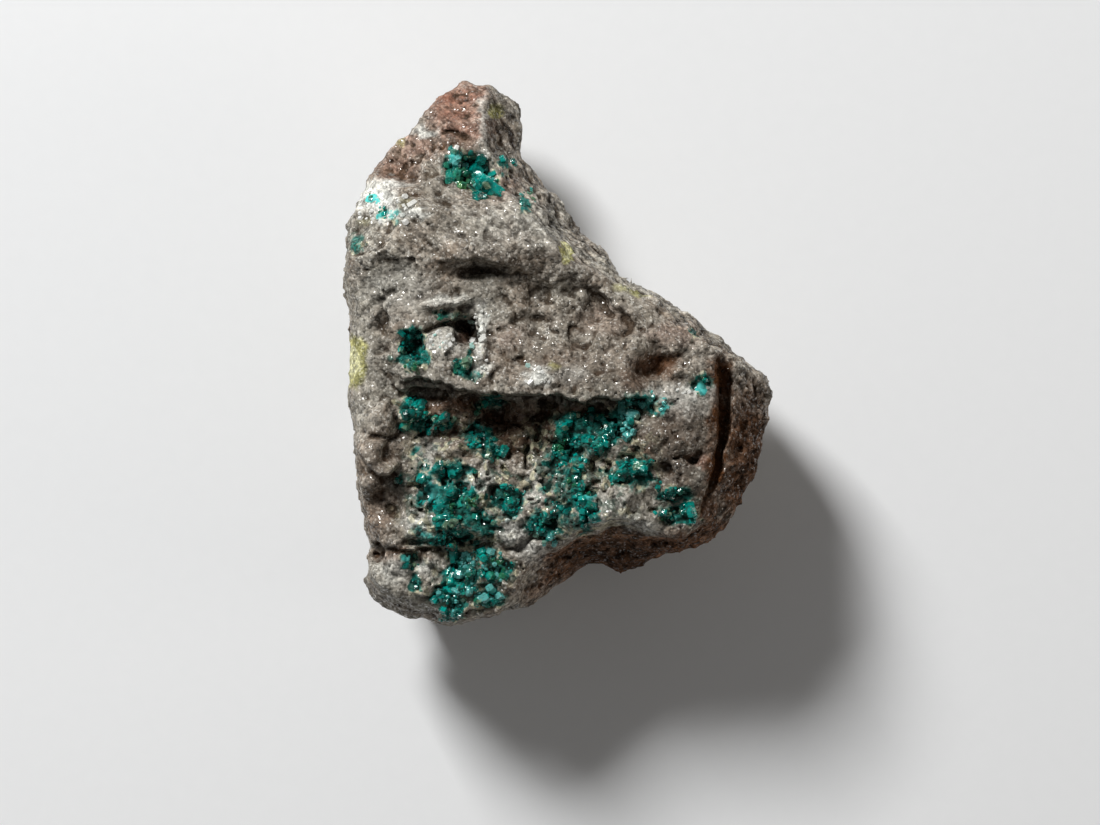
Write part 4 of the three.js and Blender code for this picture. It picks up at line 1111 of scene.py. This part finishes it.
# %% Rock
def rock_finish():
    finish = Finish("sugary_rock")
    at = rock_patterns(finish)
    colour = with_green(finish, at, with_tone(finish, at, bare_colour(finish, at)))
    raised = finish.node("ShaderNodeBump", {"invert": True}, {
        "Strength": 0.5, "Distance": 0.0001, "Height": finish.grains(4.2, "Distance")})
    glint = finish.red_of(finish.grains(7.0, "Color")).between(0.76, 0.86)
    shared = {"Base Color": colour, "IOR": 1.54, "Normal": finish.tilted(raised, at.tilt, 0.8)}
    matt = finish.principled({**shared, "Roughness": 0.9, "Specular IOR Level": 0.05})
    glassy = finish.principled({**shared, "Roughness": 0.16, "Specular IOR Level": 0.6})
    return finish.surface(finish.node("ShaderNodeMixShader", {}, {0: glint, 1: matt, 2: glassy}))


rock.data.materials.append(rock_finish())
print("rock finish nodes:", len(rock.data.materials[0].node_tree.nodes))

# %% [markdown]
# ## The crystals
#
# Dioptase grows as short six-sided prisms, each closed by three faces that meet in a low point.
# Hundreds of them cover the hollows. One prism is built once and set down again and again: places
# are drawn at random inside the stained patches, a ray finds the rock under each place, and the
# prism stands on it, tipped a little its own way and sunk so that nothing hangs in the air. Geometry
# nodes could scatter them as well, but here each crystal must stay in the patch of the plain solid
# that it stands for, and that is easier to say in code.

# %% The patches of the plain model
crusts = {
    "dioptase_horn": [(-7.2, 12.9), (-6.0, 13.2), (-4.9, 12.4), (-4.1, 11.9), (-4.2, 11.0), (-5.4, 10.5),
                      (-6.9, 10.7), (-7.4, 11.6)],
    "dioptase_vug_left": [(-10.4, -0.6), (-10.1, 0.7), (-9.2, 1.5), (-8.5, 0.8), (-8.8, -0.5), (-9.5, -1.0)],
    "dioptase_vug_right": [(-6.8, -0.3), (-6.2, 0.2), (-5.4, -0.8), (-4.9, -1.6), (-5.8, -1.7)],
    "dioptase_ledge_left": [(-10.6, -3.2), (-9.4, -3.0), (-8.4, -4.4), (-7.0, -4.7), (-7.4, -5.4),
                            (-9.0, -5.4), (-10.4, -4.6)],
    "dioptase_ledge_middle": [(-5.7, -5.4), (-4.4, -5.3), (-3.6, -6.0), (-4.4, -6.7), (-5.5, -6.3)],
    "dioptase_field_left": [(-9.9, -6.9), (-8.6, -6.3), (-6.6, -7.0), (-5.4, -7.6), (-5.5, -9.4),
                            (-5.8, -11.4), (-7.6, -12.0), (-8.9, -11.0), (-9.7, -9.2), (-10.0, -8.0)],
    "dioptase_field_middle": [(-4.7, -9.0), (-3.4, -8.8), (-2.4, -9.6), (-2.5, -10.8), (-3.8, -11.3),
                              (-4.8, -10.7)],
    "dioptase_field_right": [(-1.0, -8.1), (-0.4, -5.9), (1.2, -5.0), (2.9, -4.7), (4.6, -4.9),
                             (5.4, -4.2), (6.2, -4.6), (5.0, -6.5), (5.9, -8.1), (6.2, -9.2),
                             (4.0, -9.6), (2.4, -10.3), (0.0, -10.7), (-0.9, -9.9)],
    "dioptase_field_edge": [(-1.7, -12.0), (-0.6, -11.4), (1.2, -11.2), (2.3, -10.9), (2.0, -11.3),
                            (0.4, -11.8), (-1.1, -12.4)],
    "dioptase_foot": [(-7.6, -13.8), (-6.6, -13.5), (-5.2, -13.5), (-3.8, -13.6), (-3.5, -14.4),
                      (-4.4, -15.2), (-5.9, -15.6), (-6.2, -16.6), (-7.5, -16.9), (-7.9, -16.0),
                      (-7.5, -15.1)],
    "dioptase_foot_spot": [(-5.4, -16.1), (-4.7, -15.8), (-4.1, -16.0), (-4.2, -16.6), (-5.1, -16.7)],
    "dioptase_right_spot": [(6.5, -10.0), (7.6, -9.8), (8.9, -10.2), (9.1, -10.9), (8.0, -11.5),
                            (6.8, -11.1)],
    "druse_shoulder": [(-13.0, 9.8), (-12.2, 10.7), (-10.6, 10.4), (-9.6, 9.4), (-10.8, 8.7),
                       (-12.6, 8.9)],
}
print("patches:", len(crusts))


# %% One crystal
END_SLOPE = 0.8  # fall of a crystal's three end faces, per unit of radius


def prism_points(radius, length):
    """A six-sided prism along +Z from 0 to length, closed by three faces that meet in a point."""
    ring = [(radius * math.cos(math.radians(60 * n)), radius * math.sin(math.radians(60 * n)))
            for n in range(6)]
    low = [(x, y, 0.0) for x, y in ring]
    fall = END_SLOPE * radius
    top = [(x, y, length - fall * (1.0 if n % 2 else 0.5)) for n, (x, y) in enumerate(ring)]
    return low + top + [(0.0, 0.0, length)]


PRISM_FACES = [tuple(range(5, -1, -1))]
PRISM_FACES += [(n, (n + 1) % 6, 6 + (n + 1) % 6, 6 + n) for n in range(6)]
PRISM_FACES += [(12, 6 + n, 6 + (n + 1) % 6, 6 + (n + 2) % 6) for n in (0, 2, 4)]
print("a crystal has", len(PRISM_FACES), "faces")


# %% Places for crystals
TRIES = 140000  # places drawn, of which most lie outside the patches or too close together
CRYSTALLIZED = 0.45  # strength from which a patch carries crystals

light_patches = [  # where the crystals are thin and pale turquoise
    (-12.1, 9.8, 1.3, 1.0, 0.4), (4.6, -4.2, 1.0, 1.4, 0.7), (-8.4, -15.6, 0.7, 1.0, 0.9),
    (-10.2, -6.0, 0.9, 0.8, 0.6), (-0.6, -12.2, 1.2, 0.7, 0.6), (5.6, -8.6, 0.7, 0.5, 0.5),
    (-5.6, -14.2, 2.0, 1.4, 0.5), (6.6, -3.5, 1.2, 1.1, 1), (-6.0, 11.9, 2.2, 1.6, 0.3),
    (-5.5, -16.3, 2.5, 0.8, 0.5),
]

gold_patches = [  # where they turn yellow-green
    (-6.2, 11.3, 0.7, 0.6, 1), (2.8, -7.2, 0.7, 0.5, 0.8), (-6.0, -9.9, 0.7, 0.4, 0.8),
    (-3.8, -7.2, 0.6, 0.5, 0.7), (2.6, -5.2, 0.5, 0.4, 0.6), (-8.8, -12.0, 0.5, 0.4, 0.8),
]


def spread_places(patches, spacing, seed, clumped):
    """Places in the patches at least a spacing apart. The spacing shrinks or grows from one to the
    next, so that large and small crystals mix. Gives (x, y, size) rows."""
    draw = np.random.default_rng(seed)
    low, high = np.array([-14.5, -18.5]), np.array([14.5, 18.5])
    places = low + draw.random((TRIES, 2)) * (high - low)
    sizes = 0.5 + 1.2 * draw.random(TRIES) ** 2.5
    strength = patch_strength(patches, np.column_stack([places, np.full(TRIES, FRONT)]), 0.45)
    if clumped:
        x, y = places.T
        nearest, share = clumps(x, y)
        share = share * (1 - smooth_step(nearest, 0.55, 0.75))
        horn_or_foot = (y > 8.0) | (y < -13.2)
        strength = strength * np.where(horn_or_foot, 1, share)
    kept = []
    for at in np.flatnonzero(strength > CRYSTALLIZED):
        near = spacing * sizes[at]
        if kept:
            others = np.array(kept)
            gap = np.hypot(*(others[:, :2] - places[at]).T)
            if (gap < 0.5 * (near + spacing * others[:, 2])).any():
                continue
        kept.append((*places[at], sizes[at]))
    return np.array(kept)


print("thin, pale places:", len(light_patches), "yellow-green places:", len(gold_patches))

# %% Crystals on the rock
RAY_START = 0.03  # metres above the base
LOWEST = 0.005  # a crystal lower than this has missed the front
LEAN = 0.8  # how strongly a crystal leans its own way
SINK = 0.7  # depth of its foot in the rock, in radii, beside a fixed 0.2 mm
rock_tree = BVHTree.FromPolygons(placed(rock_points).tolist(), rock_faces.tolist())


def crystals_at(places, radius, stretch, seed):
    """Points in metres, faces and tones of crystals that stand on the rock at these places."""
    draw = np.random.default_rng(seed)
    points, faces, tones, golds = [], [], [], []
    at_front = np.column_stack([places[:, :2], np.full(len(places), FRONT)])
    lights = patch_strength(light_patches, at_front)
    yellows = patch_strength(gold_patches, at_front)
    for (x, y, size), light, yellow in zip(places, lights, yellows):
        lean = draw.normal(0, LEAN, 3)
        turn, share, tone = draw.random(3)
        start = Vector((*((np.array([x, y]) - MIDDLE) * MM), RAY_START))
        hit, normal, _, _ = rock_tree.ray_cast(start, Vector((0, 0, -1)))
        if hit is None or hit.z < LOWEST:
            continue
        axis = (normal + Vector(lean) + Vector((0, 0, 0.4))).normalized()
        wide = radius * size
        tall = wide * (stretch[0] + share * (stretch[1] - stretch[0]))
        shape = Matrix.Translation(hit - axis * (SINK * wide + 0.2) * MM)
        shape = shape @ axis.to_track_quat("Z", "Y").to_matrix().to_4x4()
        shape = shape @ Matrix.Rotation(turn * 6.3, 4, "Z")
        first = len(points)
        corners = prism_points(wide * MM, tall * MM)
        points += [shape @ Vector(corner) for corner in corners]
        faces += [tuple(first + n for n in face) for face in PRISM_FACES]
        tones += [min(1.0, 0.9 * tone + light)] * len(corners)
        golds += [yellow] * len(corners)
    return points, faces, tones, golds


def crystal_piece(name, places, radius, stretch, seed, finish, node=None):
    """One piece of crystals, which may stand for a node."""
    points, faces, tones, golds = crystals_at(places, radius, stretch, seed)
    points = np.array(points) / MM + (*MIDDLE, 0)
    piece = new_piece(name, points, faces, {"tone": tones, "gold": golds}, smooth=False)
    piece.data.materials.append(finish)
    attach(piece, "root")
    if node:
        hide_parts(node)
    return piece


print("rock under the origin:", rock_tree.ray_cast(Vector((0, 0, RAY_START)), Vector((0, 0, -1)))[0])

# %% [markdown]
# ## The crystals' finishes
#
# Dioptase is a see-through emerald green that looks almost black where the light has a long way to
# go, so part of its colour is an absorbing volume and the rest a base colour that varies from crystal
# to crystal. Small tilts of its normal stand for growth steps on its faces, and make it sparkle. The
# druse is the same kind of glassy crystal in white, cloudier and less clear.


# %% Crystal finishes
def dioptase_finish():
    finish = Finish("emerald_dioptase")
    tone = finish.mark("tone")
    step = finish.grains(3.2, "Color")
    step_tone = finish.red_of(step)
    veil = finish.noise(2.2, 2).between(0.4, 0.65)
    mass = finish.noise(0.9, 2).between(0.38, 0.64)
    depth = (0.35 * tone + 0.3 * step_tone + 0.65 * mass - 0.12).clamped()
    colour = finish.mix(depth, (0.0, 0.045, 0.036), (0.002, 0.66, 0.57))
    colour = finish.mix(finish.noise(0.6, 1).between(0.56, 0.68) * 0.6, colour, (0.05, 0.3, 0.1))
    colour = finish.mix(tone.between(0.9, 1.0) * 0.75, colour, (0.25, 0.86, 0.84))
    crumb = finish.red_of(finish.grains(1.9, "Color")).between(0.93, 0.95)
    colour = finish.mix(crumb * 0.6, colour, (0.38, 0.5, 0.3))
    colour = finish.mix(finish.mark("gold") * (0.3 + 0.6 * step_tone), colour, (0.16, 0.4, 0.07))
    ripple = finish.node("ShaderNodeBump", {}, {
        "Strength": 0.8, "Distance": 0.00008, "Height": finish.noise(5.0, 2)})
    absorb = finish.node("ShaderNodeVolumeAbsorption", {}, {
        "Color": (0.04, 0.8, 0.73), "Density": 1800.0})
    return finish.surface(finish.principled({
        "Base Color": colour, "Roughness": 0.03 + 0.2 * veil, "IOR": 1.66,
        "Transmission Weight": 0.55, "Normal": finish.tilted(ripple, step, 0.55)}), absorb)


def druse_finish():
    finish = Finish("white_druse")
    tone = finish.mark("tone")
    veil = finish.noise(3.0, 2).between(0.4, 0.7)
    colour = finish.mix(tone, (0.78, 0.8, 0.76), (0.94, 0.94, 0.92))
    colour = finish.mix(tone.between(0.0, 0.25), (0.45, 0.74, 0.68), colour)
    return finish.surface(finish.principled({
        "Base Color": colour, "Roughness": 0.18 + 0.35 * veil, "IOR": 1.55,
        "Transmission Weight": 0.3}))


emerald = dioptase_finish()
white = druse_finish()
print("finishes:", emerald.name, white.name)

# %% [markdown]
# ## Set the dioptase
#
# Each crust of the plain model is one piece here, made of the crystals that stand in its patch or
# close to it. Crystals away from all of them are one more piece, which stands for no solid.

# %% Set the dioptase
CRYSTAL = 0.22  # usual radius of a crystal
LARGE_CRYSTAL = 0.4  # radius of those in the horn's hollow
LOOSE_CRYSTAL = 0.19  # radius of the scattered ones
NEAR = 0.9  # a crystal this close to a crust belongs to it


def homes_of(places):
    """For each place, the number of its crust in the list, or -1 if it lies away from all of them."""
    reach = np.stack([ring_distance(ring, *places[:, :2].T) for ring in crusts.values()])
    return np.where(reach.min(0) < NEAR, reach.argmin(0), -1)


places = spread_places(green_stain, 0.28, seed=11, clumped=True)
large = spread_places(green_stain[:2], 0.5, seed=12, clumped=False)
homes = homes_of(places)
loose = homes == -1
made = {}
for number, name in enumerate(crusts):
    if name == "druse_shoulder":
        loose |= homes == number
        continue
    horn = name == "dioptase_horn"
    mine = large if horn else places[homes == number]
    radius = LARGE_CRYSTAL if horn else CRYSTAL
    made[name] = len(mine)
    crystal_piece("crystals_" + name, mine, radius, stretch=(2.0, 3.2), seed=100 + number,
                  finish=emerald, node=name)
crystal_piece("crystals_scattered", places[loose], LOOSE_CRYSTAL, stretch=(2.0, 3.0), seed=99,
              finish=emerald)
print("dioptase crystals:", made, "and", int(loose.sum()), "scattered")

# %% [markdown]
# ## Set the white druse
#
# The druse is a thin frost of small white crystals on the left shoulder, round the small hollow and
# in a few spots beside the green. It keeps clear of the places that are already green.

# %% Set the white druse
FROST = 0.18  # radius of the druse's crystals
LOOSE_FROST = 0.17  # and of those away from the shoulder

druse_patches = [  # where small white crystals grow
    (-12.1, 9.6, 1.2, 0.9, 1), (-10.7, 9.3, 0.9, 0.8, 0.9), (-5.3, 0.9, 0.4, 2.2, 1),
    (-5.0, -1.0, 0.5, 0.6, 1), (-6.7, 13.1, 0.4, 0.4, 1), (-5.0, 12.6, 0.3, 0.5, 1),
    (-1.2, -1.6, 0.8, 0.5, 1), (-7.6, 0.7, 1.0, 0.7, 0.7), (8.2, -2.6, 0.6, 0.3, 0.8),
    (-8.5, -7.3, 0.3, 0.4, 0.9), (-3.6, -10.9, 0.8, 0.3, 0.8),
]
whites = spread_places(druse_patches, 0.27, seed=21, clumped=False)
at_front = np.column_stack([whites[:, :2], np.full(len(whites), FRONT)])
whites = whites[patch_strength(green_stain, at_front) < 0.4]
shoulder = (whites[:, 0] < -9.0) & (whites[:, 1] > 8.0)
crystal_piece("druse_on_shoulder", whites[shoulder], FROST, stretch=(1.8, 2.6), seed=31,
              finish=white, node="druse_shoulder")
crystal_piece("druse_scattered", whites[~shoulder], LOOSE_FROST, stretch=(1.9, 2.7), seed=32,
              finish=white)
print("white crystals:", len(whites))

# %% [markdown]
# ## Camera
#
# The stone lies on its back and is seen from straight above, from about a metre away, so that the
# picture has hardly any perspective. A long lens does that.

# %% Camera
PHOTO = (1100, 825)  # pixels of the picture that the view is matched to
PIXEL = 1 / 15  # millimetres per pixel at the stone's outline
ORIGIN_PIXEL = (558, 353)  # the layout's origin in the picture
DISTANCE = 1000.0  # from the camera to the level of the outline
SENSOR = 36.0  # width in millimetres

camera = linked("camera", bpy.data.cameras.new("camera"))
bpy.context.scene.camera = camera
centre_x = (PHOTO[0] / 2 - ORIGIN_PIXEL[0]) * PIXEL
centre_y = (ORIGIN_PIXEL[1] - PHOTO[1] / 2) * PIXEL
camera.location = placed((centre_x, centre_y, BULGE + DISTANCE))
camera.data.sensor_width = SENSOR
camera.data.lens = SENSOR * DISTANCE / (PHOTO[0] * PIXEL)
camera.data.clip_start, camera.data.clip_end = 0.01, 10.0
print("lens:", round(camera.data.lens, 1), "mm")

# %% [markdown]
# ## Floor and light
#
# The floor is plain pale paper, a little uneven in tone. A small, near soft box at the upper left
# gives the clear shadows that show the ledge and the hollows, a weak warm one low on the right warms
# the sides that face it, and a dim world keeps the hollows from going black.

# %% Floor
floor_mesh = bpy.data.meshes.new("floor")
floor_mesh.from_pydata([(-1.5, -1.5, 0), (1.5, -1.5, 0), (1.5, 1.5, 0), (-1.5, 1.5, 0)], [], [(0, 1, 2, 3)])
floor = linked("floor", floor_mesh)
paper = Finish("pale_paper")
paper_tone = paper.mix(paper.noise(0.9, 2), (0.82, 0.84, 0.865), (0.84, 0.86, 0.885))
floor_mesh.materials.append(paper.surface(paper.principled({"Base Color": paper_tone, "Roughness": 0.9})))
print("floor spans", [round(v, 1) for v in floor.dimensions], "m")


# %% Light
def softbox(name, place, size, power, colour):
    """A square area light that faces the stone."""
    lamp = bpy.data.lights.new(name, "AREA")
    lamp.shape, lamp.size, lamp.energy, lamp.color = "SQUARE", size, power, colour
    box = linked(name, lamp)
    box.location = place
    box.rotation_euler = (Vector((0, 0, BULGE * MM)) - Vector(place)).to_track_quat("-Z", "Y").to_euler()


softbox("key_light", (-0.24, 0.36, 0.34), size=0.15, power=3.9, colour=(1.0, 0.985, 0.96))
softbox("low_light", (0.45, -0.06, 0.09), size=0.2, power=0.4, colour=(1.0, 0.9, 0.8))
world = bpy.data.worlds.new("room")
world.use_nodes = True
background = world.node_tree.nodes["Background"].inputs
background["Color"].default_value = (1.0, 0.98, 0.95, 1)
background["Strength"].default_value = 0.12
bpy.context.scene.world = world
bpy.context.scene.view_settings.view_transform = "Standard"

# %% [markdown]
